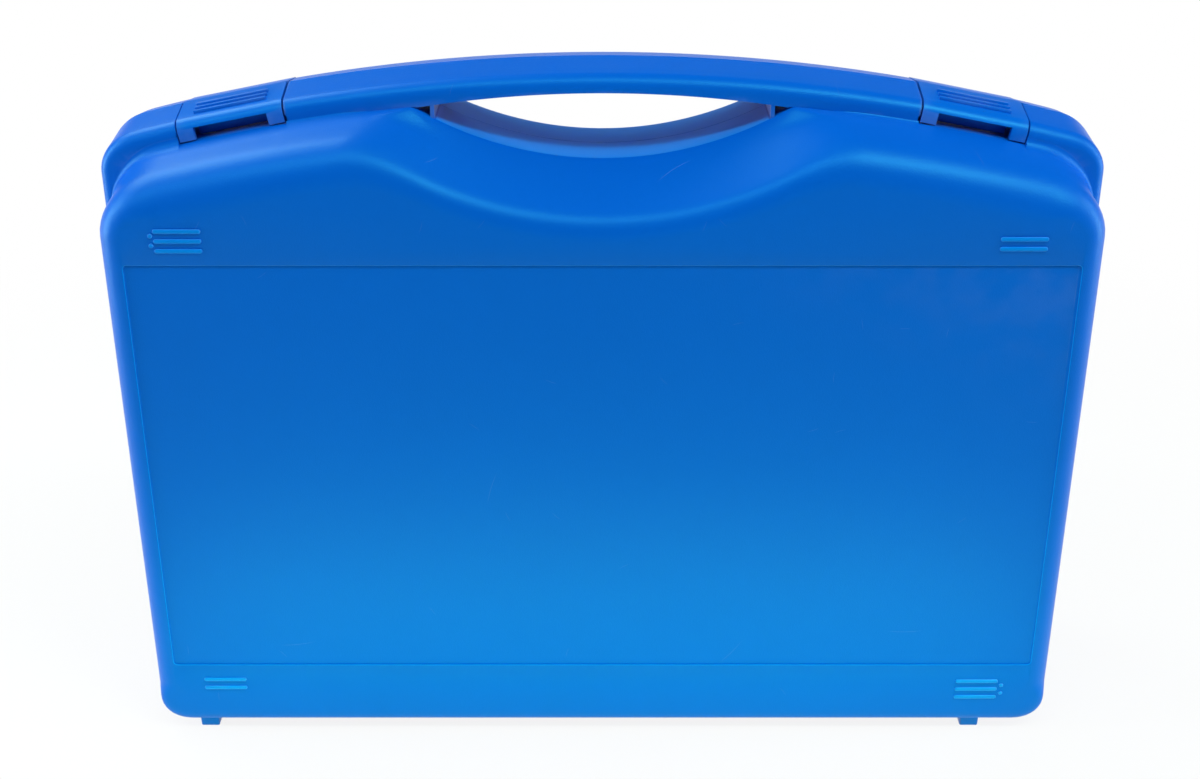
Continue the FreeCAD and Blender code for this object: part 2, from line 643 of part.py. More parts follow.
def extension(word):
    """Extension bar: a female collar, a round bar and a male square with a ball seat."""
    length, left, up = ("d.%s_%s" % (word, part) for part in ("length", "x", "z"))
    shoulder = "%s - d.square_length" % length
    corners = [(0, 0), (shoulder, 0), (shoulder, "d.bar_radius"),
               ("d.collar_length + d.collar_taper", "d.bar_radius"), ("d.collar_length", "d.collar_radius"),
               ("d.socket_edge", "d.collar_radius"), (0, "d.collar_radius - d.socket_edge")]
    stem = lathe(word + "_stem", corners, (left, "d.bar_depth", up))
    tip = "%s + %s - d.square_length" % (left, length)
    square = box(word + "_square", ("d.square_length", "d.square", "d.square"),
                 (tip, "d.bar_depth - d.square / 2", "%s - d.square / 2" % up))
    mouth = box(word + "_mouth", ("d.drive_deep", DRIVE_WIDTH, DRIVE_WIDTH),
                (left, "d.bar_depth - %s / 2" % DRIVE_WIDTH, "%s - %s / 2" % (up, DRIVE_WIDTH)))
    place = ("%s + d.ball_reach" % tip, "d.bar_depth",
             "%s + d.square / 2 - d.ball_radius + d.ball_proud" % up)
    seat = ball_seat(word + "_seat", place)
    bar = cut(word + "_extension", fuse(word + "_bar", stem, square), mouth, seat)
    return bar, ball(word + "_extension_ball", place)


def tee_bar():
    """Sliding bar, its head and the rings that keep the head on."""
    place = ("d.tee_x", "d.bar_depth", "d.tee_z")
    bar = rod("tee_rod", "d.bar_radius", "d.tee_length", place, TURN_X)
    rings = []
    grooves = []
    for word, start in (("left", "d.tee_x + d.ring_inset"),
                        ("right", "d.tee_x + d.tee_length - d.ring_inset - d.ring_width")):
        at = (start,) + place[1:]
        outer = rod("ring_%s" % word, "d.ring_radius", "d.ring_width", at, TURN_X)
        inner = rod("ring_bore_%s" % word, "d.bar_radius - d.ring_deep", "d.ring_width", at, TURN_X)
        groove = rod("ring_groove_%s" % word, "d.ring_radius + d.overcut", "d.ring_width", at, TURN_X)
        core = rod("ring_core_%s" % word, "d.bar_radius - d.ring_deep", "d.ring_width", at, TURN_X)
        rings.append(cut("tee_ring_%s" % word, outer, inner))
        grooves.append(cut("tee_groove_%s" % word, groove, core))
    group = gathered("tee_bar_rings", rings)
    middle = "d.tee_x + d.tee_length / 2"
    barrel = rod("tee_barrel", "d.tee_head_radius", "2 * d.tee_head_radius",
                 (middle, "d.bar_depth", "d.tee_z - d.tee_head_radius"))
    square = box("tee_square", ("d.square", "d.square", "d.tee_square + d.overcut"),
                 ("%s - d.square / 2" % middle, "d.bar_depth - d.square / 2",
                  "d.tee_z - d.tee_head_radius - d.tee_square"))
    bore = rod("tee_bore", "d.bar_radius + d.running_gap", "4 * d.tee_head_radius",
               ("%s - 2 * d.tee_head_radius" % middle,) + place[1:], TURN_X)
    return cut("tee_bar", bar, *grooves), cut("tee_head", fuse("tee_head_block", barrel, square), bore), group


def hexagon(name, flats, length, start, rotation):
    """A six-sided bar by its size across the flats."""
    made = doc.addObject("Part::Prism", name)
    made.Polygon = 6
    bind(made, Circumradius="(%s + d.hex_slack) / sqrt(3)" % flats, Height=length)
    return put(made, *start, rotation=rotation)


def socket(size, place):
    """Six-point socket standing in the tray, its hexagon to the front and its square to the back."""
    name = "socket_%dmm" % size
    across, outside = "d.flats_%d" % size, "d.outside_%d / 2" % size
    left, up = place
    edge = "d.socket_edge"
    corners = [(0, 0), ("d.socket_length", 0), ("d.socket_length", "%s - %s" % (outside, edge)),
               ("d.socket_length - %s" % edge, outside), (edge, outside), (0, "%s - %s" % (outside, edge))]
    blank = lathe(name + "_blank", corners, (left, "d.socket_front", up), TURN_Y)
    drive = box(name + "_drive", (DRIVE_WIDTH, "d.drive_deep + d.overcut", DRIVE_WIDTH),
                ("%s - %s / 2" % (left, DRIVE_WIDTH), "d.socket_front + d.socket_length - d.drive_deep",
                 "%s - %s / 2" % (up, DRIVE_WIDTH)))
    mouth = hexagon(name + "_hexagon", across, "d.hex_deep", (left, "d.socket_front", up), TURN_Y)
    return cut(name, blank, drive, mouth)


def spark_plug_socket():
    """Long socket lying in the tray, and the rubber ring that holds the plug."""
    place = ("d.plug_x", "d.bar_depth", "d.plug_z")
    edge = "d.socket_edge"
    corners = [(0, 0), ("d.plug_length", 0), ("d.plug_length", "d.plug_radius - %s" % edge),
               ("d.plug_length - %s" % edge, "d.plug_radius"), (edge, "d.plug_radius"),
               (0, "d.plug_radius - %s" % edge)]
    blank = lathe("plug_blank", corners, place)
    mouth = hexagon("plug_hexagon", "d.plug_hex", "d.plug_length - d.drive_deep - d.plug_stop", place, TURN_X)
    drive = box("plug_drive", ("d.drive_deep", DRIVE_WIDTH, DRIVE_WIDTH),
                ("d.plug_x + d.plug_length - d.drive_deep", "d.bar_depth - %s / 2" % DRIVE_WIDTH,
                 "d.plug_z - %s / 2" % DRIVE_WIDTH))
    inner = ("d.plug_x + d.plug_length - d.drive_deep - d.plug_stop - d.insert_length",) + place[1:]
    insert = cut("spark_plug_insert", rod("insert_ring", "d.insert_radius", "d.insert_length", inner, TURN_X),
                 rod("insert_bore_rod", "d.insert_bore", "d.insert_length", inner, TURN_X))
    return cut("spark_plug_socket", blank, mouth, drive), insert


def socket_places():
    """Each socket size with its place in the tray's two rows."""
    half = len(SOCKETS) // 2
    for index, size in enumerate(SOCKETS):
        column = index % half - (half - 1) / 2
        yield size, ("%s * d.socket_pitch" % column, "d.upper_row" if index < half else "d.lower_row")


# Tray in the rear shell: a plate with an edge, posts for the sockets and cradles for what lies down


def tool_tray():
    """Flat plate on the rear shell's inside."""
    return box("tool_tray", ("d.tray_width", "d.tray_sheet", "d.tray_high - d.tray_low"),
               ("-d.tray_width / 2", "d.tray_front", "d.tray_low"))


def tray_edge():
    """Low walls round the plate."""
    top = "d.tray_front - d.edge_height"
    walls = []
    for word, up in (("low", "d.tray_low"), ("high", "d.tray_high - d.edge_wall")):
        walls.append(box("edge_" + word, ("d.tray_width", "d.edge_height", "d.edge_wall"),
                         ("-d.tray_width / 2", top, up)))
    inside = "d.tray_high - d.tray_low - 2 * d.edge_wall"
    for word, left in (("left", "-d.tray_width / 2"), ("right", "d.tray_width / 2 - d.edge_wall")):
        walls.append(box("edge_" + word, ("d.edge_wall", "d.edge_height", inside),
                         (left, top, "d.tray_low + d.edge_wall")))
    return gathered("tray_edge", walls)


def tray_posts():
    """A square post behind each socket, in its drive square."""
    posts = [box("post_%d" % size, ("d.post_size", "d.post_length", "d.post_size"),
                 ("%s - d.post_size / 2" % left, "d.tray_front - d.post_length", "%s - d.post_size / 2" % up))
             for size, (left, up) in socket_places()]
    return gathered("tray_posts", posts)


# Each cradle's name, middle, width, and the height, depth and radius of what lies in it
CRADLES = (
    ("shank", -78, "d.cradle_width", "d.ratchet_z", "d.ratchet_depth", "d.shank_radius"),
    ("grip_left", -24, "d.cradle_width", "d.ratchet_z", "d.ratchet_depth", "d.grip_radius"),
    ("grip_right", 44, "d.cradle_width", "d.ratchet_z", "d.ratchet_depth", "d.grip_radius"),
    ("long_left", -104, "d.cradle_width", "d.long_z", "d.bar_depth", "d.bar_radius"),
    ("long_right", 26, "d.cradle_width", "d.long_z", "d.bar_depth", "d.bar_radius"),
    ("short_left", 114, "d.cradle_width", "d.short_z", "d.bar_depth", "d.collar_radius"),
    ("short_right", 147, "d.cradle_width", "d.short_z", "d.bar_depth", "d.bar_radius"),
    ("tee_left", -171.8, "d.cradle_narrow", "d.tee_z", "d.bar_depth", "d.bar_radius"),
    ("tee_right", 61.8, "d.cradle_narrow", "d.tee_z", "d.bar_depth", "d.bar_radius"),
    ("plug_left", 118, "d.cradle_width", "d.plug_z", "d.bar_depth", "d.plug_radius"),
    ("plug_right", 151, "d.cradle_width", "d.plug_z", "d.bar_depth", "d.plug_radius"),
)


def tray_cradles():
    """A seat and two cheeks for each place where a tool lies."""
    pieces = []
    for name, middle, width, up, depth, radius in CRADLES:
        left = "%s - %s / 2" % (middle, width)
        half = "(%s + d.tool_gap)" % radius
        seat = "%s + %s" % (depth, half)
        pieces.append(box("seat_" + name, (width, "d.tray_front - (%s)" % seat, "2 * %s" % half),
                          (left, seat, "%s - %s" % (up, half))))
        start = "%s - d.cheek_rise" % depth
        for word, low in (("low", "%s - %s - d.cheek" % (up, half)), ("high", "%s + %s" % (up, half))):
            pieces.append(box("cheek_%s_%s" % (name, word), (width, "d.tray_front - (%s)" % start, "d.cheek"),
                              (left, start, low)))
    return gathered("tray_cradles", pieces)


NODES = {"front_shell": front_shell, "rear_shell": rear_shell}
NODES.update({"%s_latch" % word: made for word, made in latches.items()})
NODES.update({made.Name: made for made in latch_pins + hinge_pins})
NODES["tool_tray"] = tool_tray()
NODES["tray_edge"] = tray_edge()
NODES["tray_posts"] = tray_posts()
NODES["tray_cradles"] = tray_cradles()
NODES["lid_pad"] = box("lid_pad", ("d.pad_width", "d.pad_thick", "d.pad_high - d.pad_low"),
                       ("-d.pad_width / 2", "-d.shell_depth + d.wall", "d.pad_low"))
NODES["ratchet_body"] = ratchet_body()
NODES["ratchet_gear"] = ratchet_gear()
NODES["drive_ball"] = ball("drive_ball", BALL_PLACE)
NODES["ratchet_cover_plate"] = cover_plate()
NODES["ratchet_cover_screws"] = cover_screws()
NODES["ratchet_pawl"] = head_rod("ratchet_pawl", "d.pawl_radius", "d.room_low + d.lever_gap",
                                 "d.plate_low - d.lever_gap", along="d.pawl_reach")
NODES["reverse_lever"] = reverse_lever()
NODES["release_button"] = head_rod("release_button", "d.button_radius", "-d.button_top", "-d.button_low")
NODES["ratchet_grip"] = grip()
for word in ("long", "short"):
    NODES[word + "_extension"], NODES[word + "_extension_ball"] = extension(word)
NODES["tee_bar"], NODES["tee_head"], NODES["tee_bar_rings"] = tee_bar()
NODES["spark_plug_socket"], NODES["spark_plug_insert"] = spark_plug_socket()
for size, place in socket_places():
    NODES["socket_%dmm" % size] = socket(size, place)

doc.recompute()
for thing in doc.Objects:
    if "Invalid" in thing.State or "Error" in thing.State:
        raise RuntimeError("%s did not build: %s" % (thing.Name, thing.State))
for name, node in NODES.items():
    node.Label = name
    if node.Shape.isNull() or not node.Shape.isValid():
        raise RuntimeError("%s has no valid shape" % name)
os.makedirs("parts", exist_ok=True)
for name, node in NODES.items():
    node.Shape.exportStep(os.path.join("parts", name + ".step"))
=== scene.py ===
"""A blue moulded tool case with a half-inch socket set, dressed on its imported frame."""

import json
import math

import bmesh
import bpy
import numpy as np
from mathutils import Matrix, Vector


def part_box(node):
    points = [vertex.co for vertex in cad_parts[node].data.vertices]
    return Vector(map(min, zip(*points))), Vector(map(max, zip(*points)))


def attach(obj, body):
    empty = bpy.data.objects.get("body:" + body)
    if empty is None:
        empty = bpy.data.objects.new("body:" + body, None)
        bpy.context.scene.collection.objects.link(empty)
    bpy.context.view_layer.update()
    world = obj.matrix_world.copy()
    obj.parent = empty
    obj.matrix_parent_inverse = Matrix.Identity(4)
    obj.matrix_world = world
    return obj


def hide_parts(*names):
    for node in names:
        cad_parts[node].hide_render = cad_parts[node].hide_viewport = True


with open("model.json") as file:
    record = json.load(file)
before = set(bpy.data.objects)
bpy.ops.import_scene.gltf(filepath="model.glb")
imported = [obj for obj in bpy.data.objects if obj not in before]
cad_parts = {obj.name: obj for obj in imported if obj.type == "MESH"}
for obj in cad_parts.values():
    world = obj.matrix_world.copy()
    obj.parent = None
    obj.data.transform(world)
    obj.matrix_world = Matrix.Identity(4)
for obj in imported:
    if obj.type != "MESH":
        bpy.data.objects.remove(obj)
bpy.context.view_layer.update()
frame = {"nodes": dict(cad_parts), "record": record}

bl_info = {
    "name": "Moulded Tool Case",
    "version": (1, 0, 0),
    "blender": (4, 5, 0),
    "location": "View3D > Sidebar > Tool Case",
    "description": "Builds the shells, latches, tray and tools of a moulded tool case",
    "category": "Object",
}

SHELL_LOW, SHELL_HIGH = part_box("front_shell")
PAD_LOW, PAD_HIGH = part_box("lid_pad")
NODE_SLOTS = {part["node"]: part["material_slot"] for part in frame["record"]["subparts"]}
SIDES = {"left": -1, "right": 1}


def mm(size):
    """Millimetres as metres."""
    return size * 0.001


RIM_TRIM = mm(2.4)


def length(name, description, default):
    """A size that a user may change."""
    return bpy.props.FloatProperty(name=name, description=description, default=default, unit="LENGTH",
                                   precision=5)


def colour(name, description, default):
    """A colour that a user may change."""
    return bpy.props.FloatVectorProperty(name=name, description=description, default=default,
                                         subtype="COLOR", size=3, min=0, max=1)


def share(name, description, default):
    """A share from none to all that a user may change."""
    return bpy.props.FloatProperty(name=name, description=description, default=default, min=0, max=1,
                                   subtype="FACTOR")


class CaseShape(bpy.types.PropertyGroup):
    """Sizes of the moulded case."""

    body_half: length("Body half width", "Half the width of the body", mm(200))
    rim_half: length("Rim half width", "Half the width over the rim", SHELL_HIGH.x - RIM_TRIM)
    depth: length("Shell depth", "Depth of one shell from the parting plane", -SHELL_LOW.y)
    crest: length("Crest height", "Height of the arch at its middle", SHELL_HIGH.z)
    arch: length("Arch radius", "Radius that the top of the case follows", mm(760))
    bottom: length("Bottom height", "Height of the body's underside", mm(10))
    wall: length("Wall", "Thickness of the moulded wall", mm(2.5))
    seam: length("Seam", "Half the gap at the parting plane", mm(0.15))
    low_corner: length("Low corner", "Radius of the lower corners", mm(15))
    high_corner: length("High corner", "Radius of the body's upper corners", mm(30))
    rim_corner: length("Rim corner", "Radius of the rim's upper corners", mm(20))
    front_round: length("Front rounding", "Rounding of the front along the sides and bottom", mm(9))
    rim_round: length("Rim rounding", "Rounding of the rim along the sides", mm(4))
    band_depth: length("Band depth", "Depth of the rim band from the parting plane", mm(21.5))
    band_height: length("Band height", "Height of the rim band", mm(11.5))
    crown_depth: length("Crown depth", "Depth at which the band's crown ends", mm(16.44))
    crown_drop: length("Crown drop", "Fall of the band's crown", mm(2.6))
    band_edge: length("Band edge", "Drop at which the band's front starts", mm(8.53))
    band_round: length("Band rounding", "Radius between the crown and the band's front", mm(6))
    shelf_depth: length("Shelf depth", "Depth at which the shelf turns into the shoulder", mm(36.4))
    shelf_drop: length("Shelf drop", "Drop of the shelf's front end", mm(15.4))
    shoulder_round: length("Shoulder radius", "Radius of the shoulder", mm(18))
    shoulder_drop: length("Shoulder drop", "Drop at which the shoulder meets the front", mm(32.9))
    floor_round: length("Floor radius", "Radius of the finger opening's floor", mm(146))
    floor_height: length("Floor height", "Height of the finger opening's floor", mm(260.5))
    scoop_round: length("Scoop radius", "Radius of the scoop at the front", mm(165))
    scoop_lip: length("Scoop lip", "Rounding of the scoop's front lip", mm(12))
    scoop_blend: length("Scoop blend", "Width over which the scoop runs into the shelf", mm(12))
    under_round: length("Underside radius", "Radius of the handle's underside", mm(480))
    under_height: length("Underside height", "Height of the handle's underside", mm(287))
    opening_half: length("Opening half width", "Half the width of the finger opening", mm(67))
    rib_wall: length("Rib", "Thickness of the ribs that end the finger opening", mm(1.6))
    panel_half: length("Panel half width", "Half the width of the front panel", mm(190.4))
    panel_low: length("Panel bottom", "Height of the panel's lower edge", mm(35.5))
    panel_high: length("Panel top", "Height of the panel's upper edge", mm(225))
    panel_deep: length("Panel depth", "Depth of the panel's recess", mm(0.8))
    latch_lean: bpy.props.FloatProperty(name="Latch lean", description="Angle of each latch round the arch",
                                        default=math.radians(11.4), subtype="ANGLE")
    latch_width: length("Latch width", "Width of a latch", mm(43.5))
    latch_gap: length("Latch gap", "Gap between a latch and the band", mm(0.8))


class CaseFinish(bpy.types.PropertyGroup):
    """Colours and wear of the set."""

    case_blue: colour("Case blue", "Colour of the moulded shells", (0.0, 0.107, 0.60))
    latch_blue: colour("Latch blue", "Colour of the latches", (0.0, 0.120, 0.62))
    # The lighter blue is partly painted light: it lifts the finger opening's shaded floor and paints a
    # highlight along the panel's lip, where it also stands for wear; the corner bars take it too
    worn_blue: colour("Worn blue", "Colour of bars and edges polished by handling", (0.0, 0.21, 0.77))
    blue_shine: colour("Blue shine", "Tint of the blue plastic's reflections", (0.06, 0.76, 1.0))
    chrome: colour("Chrome", "Colour of the plated tools", (0.72, 0.73, 0.75))
    steel: colour("Steel", "Colour of the bare steel pieces", (0.50, 0.50, 0.52))
    oxide: colour("Black steel", "Colour of the blackened steel", (0.03, 0.03, 0.033))
    tray_black: colour("Tray", "Colour of the formed tray", (0.018, 0.018, 0.02))
    foam_grey: colour("Foam", "Colour of the lid's foam", (0.06, 0.06, 0.067))
    rubber: colour("Rubber", "Colour of the grip", (0.02, 0.02, 0.022))
    floor_white: colour("Floor", "Colour of the floor", (0.85, 0.85, 0.85))
    wear: share("Wear", "How worn the plastic's edges are", 0.5)


# Mesh building

WELD = mm(0.002)
SLIVER = mm(0.001)
JOIN_WELD = mm(0.01)
SHARP_ANGLE = 30
BLOCK_ROUND = 2
ROUND_PROFILE = 0.5
TINY = 1e-9


class Skin:
    """Collects points and faces for one piece."""

    def __init__(self):
        self.points = []
        self.faces = []
        # Faces that take the second, lighter material: painted light on the finger opening's floor, and wear
        # with a painted highlight on the panel's lip
        self.worn = set()
        self.fills = []

    def add(self, points):
        """Add points and return their numbers."""
        start = len(self.points)
        self.points.extend(tuple(p) for p in points)
        return list(range(start, len(self.points)))

    def strip(self, first, second, closed=True):
        """Quads between two rows of points."""
        count = len(first)
        for index in range(count if closed else count - 1):
            after = (index + 1) % count
            self.faces.append((first[index], first[after], second[after], second[index]))

    def rings(self, rings, closed=True):
        """Quads over a list of rows of points; returns the rows' numbers."""
        rows = [self.add(ring) for ring in rings]
        for first, second in zip(rows, rows[1:]):
            self.strip(first, second, closed)
        return rows

    def sweep(self, rings):
        """A closed bar through rings, with a face on each end."""
        rows = self.rings(rings)
        self.faces.append(tuple(rows[0]))
        self.faces.append(tuple(rows[-1]))
        return rows

    def fill(self, outer, holes=()):
        """Fill a flat loop, leaving the holes open."""
        self.fills.append([outer, *holes])

    def block(self, low, high, edge):
        """A block with rounded edges, by its corners."""
        low, high = Vector(low), Vector(high)
        made = bmesh.new()
        bmesh.ops.create_cube(made, size=1)
        span = high - low
        for vert in made.verts:
            vert.co = low + Vector(((vert.co[axis] + 0.5) * span[axis] for axis in range(3)))
        self.rounded(made, edge, BLOCK_ROUND)

    def rounded(self, made, edge, steps):
        """Round a small mesh's edges and take over its points and faces."""
        bmesh.ops.bevel(made, geom=made.edges[:], offset=edge, segments=steps, profile=ROUND_PROFILE,
                        affect="EDGES")
        made.verts.index_update()
        numbers = self.add(vert.co for vert in made.verts)
        self.faces.extend(tuple(numbers[vert.index] for vert in face.verts) for face in made.faces)
        made.free()

    def wear(self, first):
        """Mark the faces from a number on for the lighter blue: worn, with a painted highlight."""
        self.worn.update(range(first, len(self.faces)))

    def make(self, name, material, sharp=SHARP_ANGLE, turn=None, worn=None):
        """The finished object, smooth apart from edges over the sharp angle."""
        built = bmesh.new()
        points = [built.verts.new(p) for p in self.points]
        for index, face in enumerate(self.faces):
            made = built.faces.new([points[number] for number in dict.fromkeys(face)])
            made.material_index = int(index in self.worn)
        for loops in self.fills:
            edges = []
            for loop in loops:
                for number, after in zip(loop, loop[1:] + loop[:1]):
                    pair = (points[number], points[after])
                    edges.append(built.edges.get(pair) or built.edges.new(pair))
            bmesh.ops.triangle_fill(built, use_beauty=True, edges=edges)
        bmesh.ops.remove_doubles(built, verts=built.verts[:], dist=WELD)
        bmesh.ops.dissolve_degenerate(built, dist=SLIVER, edges=built.edges[:])
        bmesh.ops.recalc_face_normals(built, faces=built.faces[:])
        if turn is not None:
            built.transform(turn)
            if turn.determinant() < 0:
                bmesh.ops.reverse_faces(built, faces=built.faces[:])
        mesh = bpy.data.meshes.new(name)
        built.to_mesh(mesh)
        built.free()
        mesh.shade_smooth()
        mesh.set_sharp_from_angle(angle=math.radians(sharp))
        for finish in (material, worn):
            if finish is not None:
                mesh.materials.append(finish)
        made = bpy.data.objects.new(name, mesh)
        bpy.context.scene.collection.objects.link(made)
        return made


def seat(piece, body, slot, *nodes):
    """Ride a piece on its body in place of CAD nodes."""
    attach(piece, body)
    if nodes:
        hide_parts(*nodes)
    return piece


def modified(piece, *modifiers):
    """Apply modifiers, given as (kind, settings), to a piece."""
    for kind, settings in modifiers:
        added = piece.modifiers.new(kind.lower(), kind)
        for name, setting in settings.items():
            setattr(added, name, setting)
    ready = bpy.context.evaluated_depsgraph_get()
    mesh = bpy.data.meshes.new_from_object(piece.evaluated_get(ready))
    old = piece.data
    piece.modifiers.clear()
    piece.data = mesh
    bpy.data.meshes.remove(old)
    return piece


def joined(name, pieces):
    """Several objects as one."""
    first = pieces[0]
    merged = bmesh.new()
    for piece in pieces:
        merged.from_mesh(piece.data)
    bmesh.ops.remove_doubles(merged, verts=merged.verts[:], dist=JOIN_WELD)
    bmesh.ops.dissolve_degenerate(merged, dist=JOIN_WELD, edges=merged.edges[:])
    merged.to_mesh(first.data)
    merged.free()
    for piece in pieces[1:]:
        bpy.data.objects.remove(piece)
    first.name = name
    first.data.name = name
    first.data.shade_smooth()
    return first


def spread(start, end, count):
    """Evenly spaced values, both ends included."""
    return [start + (end - start) * index / (count - 1) for index in range(count)]


def smooth_step(share_done):
    """Ease from 0 to 1."""
    held = min(max(share_done, 0.0), 1.0)
    return held * held * (3 - 2 * held)


def smooth_min(first, second, width):
    """The lower of two values, rounded where they cross."""
    overlap = max(width - abs(first - second), 0.0)
    return min(first, second) - overlap * overlap / (4 * width)


def mix(first, second, amount):
    """A pair between two pairs."""
    return tuple(a + (b - a) * amount for a, b in zip(first, second))


# The case's outlines and sections

ARC_STEP = 14
CORNER_STEP = 14
SIDE_STEP = 12
BOTTOM_STEP = 20
TOP_PITCH = mm(1.5)
TOP_REACH = math.radians(16)
# Shares of a step: how far past a latch gap's edge its second row lies, and how near an even row may come
NOTCH_NUDGE = 1 / 20
NOTCH_CLEAR = 1 / 3
NOTCH_SLACK = 1e-6


class Station:
    """A place on an outline: its point, its inward direction and how far it belongs to the top."""

    def __init__(self, x, z, inward, top):
        self.x = x
        self.z = z
        self.inward = inward
        self.top = top

    def point(self, inset, depth):
        """The point at an inset and a depth, in the front shell."""
        return (self.x + self.inward[0] * inset, -depth, self.z + self.inward[1] * inset)

    def mirrored(self):
        """The same place on the other side."""
        return Station(-self.x, self.z, (-self.inward[0], self.inward[1]), self.top)


def arch_centre(shape):
    """Height of the centre that the arch turns about."""
    return shape.crest - shape.arch


def arch_angle(shape, station):
    """Angle of a place round the arch, away from the middle on either side."""
    return math.atan2(abs(station.x), station.z - arch_centre(shape))


def round_station(centre, radius, angle, top):
    """A place on a rounding; its angle is 0 at the top and grows to the right."""
    away = (math.sin(angle), math.cos(angle))
    return Station(centre[0] + radius * away[0], centre[1] + radius * away[1], (-away[0], -away[1]), top)


def half_outline(shape, arch, half, corner):
    """Stations from the middle of the top, round the right side, to the middle of the bottom."""
    side = half - corner
    lift = math.sqrt((arch - corner) ** 2 - side ** 2)
    turn = math.atan2(side, lift)
    crown, high = (0, arch_centre(shape)), (side, arch_centre(shape) + lift)
    low = (half - shape.low_corner, shape.bottom + shape.low_corner)
    stations = [round_station(crown, arch, a, 1.0) for a in top_angles(shape) if a < turn]
    stations.append(round_station(crown, arch, turn, 1.0))
    for angle in spread(turn, math.pi / 2, CORNER_STEP)[1:]:
        top = 1 - smooth_step((angle - turn) / (math.pi / 2 - turn))
        stations.append(round_station(high, corner, angle, top))
    stations += [Station(half, z, (-1, 0), 0.0) for z in spread(high[1], low[1], SIDE_STEP)[1:]]
    for angle in spread(math.pi / 2, math.pi, CORNER_STEP)[1:]:
        stations.append(round_station(low, shape.low_corner, angle, 0.0))
    stations += [Station(x, shape.bottom, (0, 1), 0.0) for x in spread(low[0], 0, BOTTOM_STEP)[1:]]
    return stations


def notch_angles(shape):
    """The angles round the arch at which the gap for a latch starts and ends."""
    half = (shape.latch_width / 2 + shape.latch_gap) / shape.arch
    return shape.latch_lean - half, shape.latch_lean + half


def top_angles(shape):
    """Angles round the arch, close enough for the scoop's rim, with the latch gaps' edges among them."""
    step = TOP_PITCH / shape.arch
    start, end = notch_angles(shape)
    nudge = step * NOTCH_NUDGE
    edges = [start - nudge, start, end, end + nudge]
    even = [index * step for index in range(int(TOP_REACH / step))]
    kept = [a for a in even if min(abs(a - edge) for edge in edges) > step * NOTCH_CLEAR]
    return sorted(kept + edges)


def whole(stations):
    """A closed outline from its right half."""
    return stations + [s.mirrored() for s in reversed(stations[1:-1])]


def body_stations(shape):
    """The body's outline."""
    return whole(half_outline(shape, shape.arch - shape.band_height, shape.body_half, shape.high_corner))


def in_notch(shape, station):
    """Whether a place lies in the gap for a latch."""
    start, end = notch_angles(shape)
    return station.top == 1.0 and start - NOTCH_SLACK < arch_angle(shape, station) < end + NOTCH_SLACK


FILLET_DEPTH = mm(4)
FILLET_RIM = mm(3.2)
FILLET_SIDE = mm(1.0)
FILLET_HANDLE = mm(1.0)
FILLET_START = mm(88)
FILLET_RUN = mm(18)
FILLET_STEP = 8


def fillet_height(shape, station):
    """Height of the hollow blend between the shelf and the band."""
    if in_notch(shape, station):
        return 0.0
    if arch_angle(shape, station) <= shape.latch_lean:
        return FILLET_HANDLE * smooth_step((abs(station.x) - FILLET_START) / FILLET_RUN)
    return FILLET_SIDE + (FILLET_RIM - FILLET_SIDE) * station.top


def arc(centre, radius, start, end, count):
    """Points of an arc as (inset, depth) pairs."""
    return [(centre[0] - radius * math.cos(angle), centre[1] + radius * math.sin(angle))
            for angle in spread(start, end, count)]


# Depths of the rings under the band, in millimetres
WALL_DEPTHS = (4, 10, 16, 20.4, 20.9, 21.2)
SHELF_STEP = 7
# The lip along the lower front edge: inset and distance behind the front, in millimetres, for each
# of the ARC_STEP rings that round the front
LOW_LIP = (
    (0.0, 6.0), (0.0, 3.4), (-0.15, 2.9), (-0.8, 2.7), (-3.2, 2.6), (-3.8, 2.5), (-4.2, 2.2),
    (-4.3, 1.8), (-4.0, 1.2), (-3.2, 0.7), (-2.0, 0.3), (-0.5, 0.08), (1.5, 0.0), (9.0, 0.0),
)


def body_section(shape, station, inset):
    """Inset and depth of each ring at a place, from the parting plane to the front."""
    front = shape.depth - inset
    slope = (shape.shelf_drop - shape.band_height) / (shape.shelf_depth - shape.band_depth)
    tilt = math.atan(slope)
    fillet = fillet_height(shape, station) if inset == 0 else 0.0
    flat = [(inset, d) for d in (shape.seam, *map(mm, WALL_DEPTHS))]
    shelf = []
    for angle in spread(0, math.pi / 2, FILLET_STEP):
        d = shape.band_depth + FILLET_DEPTH * (1 - math.cos(angle))
        hollow = fillet * (1 - math.sin(angle))
        shelf.append((inset + slope * (d - shape.band_depth) * station.top - hollow, d))
    shelf_end = shape.shelf_depth - inset * math.sin(tilt)
    for d in spread(shape.band_depth + FILLET_DEPTH, shelf_end, SHELF_STEP)[1:-1]:
        shelf.append((inset + slope * (d - shape.band_depth) * station.top, d))
    big = shape.shoulder_round - inset
    small = shape.front_round - inset
    top_arc = arc((shape.shoulder_drop - shape.band_height, front - big), big, tilt, math.pi / 2, ARC_STEP)
    side_arc = arc((shape.front_round, front - small), small, 0, math.pi / 2, ARC_STEP)
    turned = [mix(b, a, station.top) for a, b in zip(top_arc, side_arc)]
    if inset == 0:
        lip = [(mm(low), front - mm(back)) for low, back in LOW_LIP]
        turned = [mix(a, b, smooth_step(station.inward[1])) for a, b in zip(turned, lip)]
    return flat + shelf + turned


SCOOP_REACH = mm(112)
SCOOP_EDGE = mm(0.2)
SCOOP_RUN = mm(6)
SCOOP_SPAN = 0.98
FLOOR_EDGE = mm(0.6)


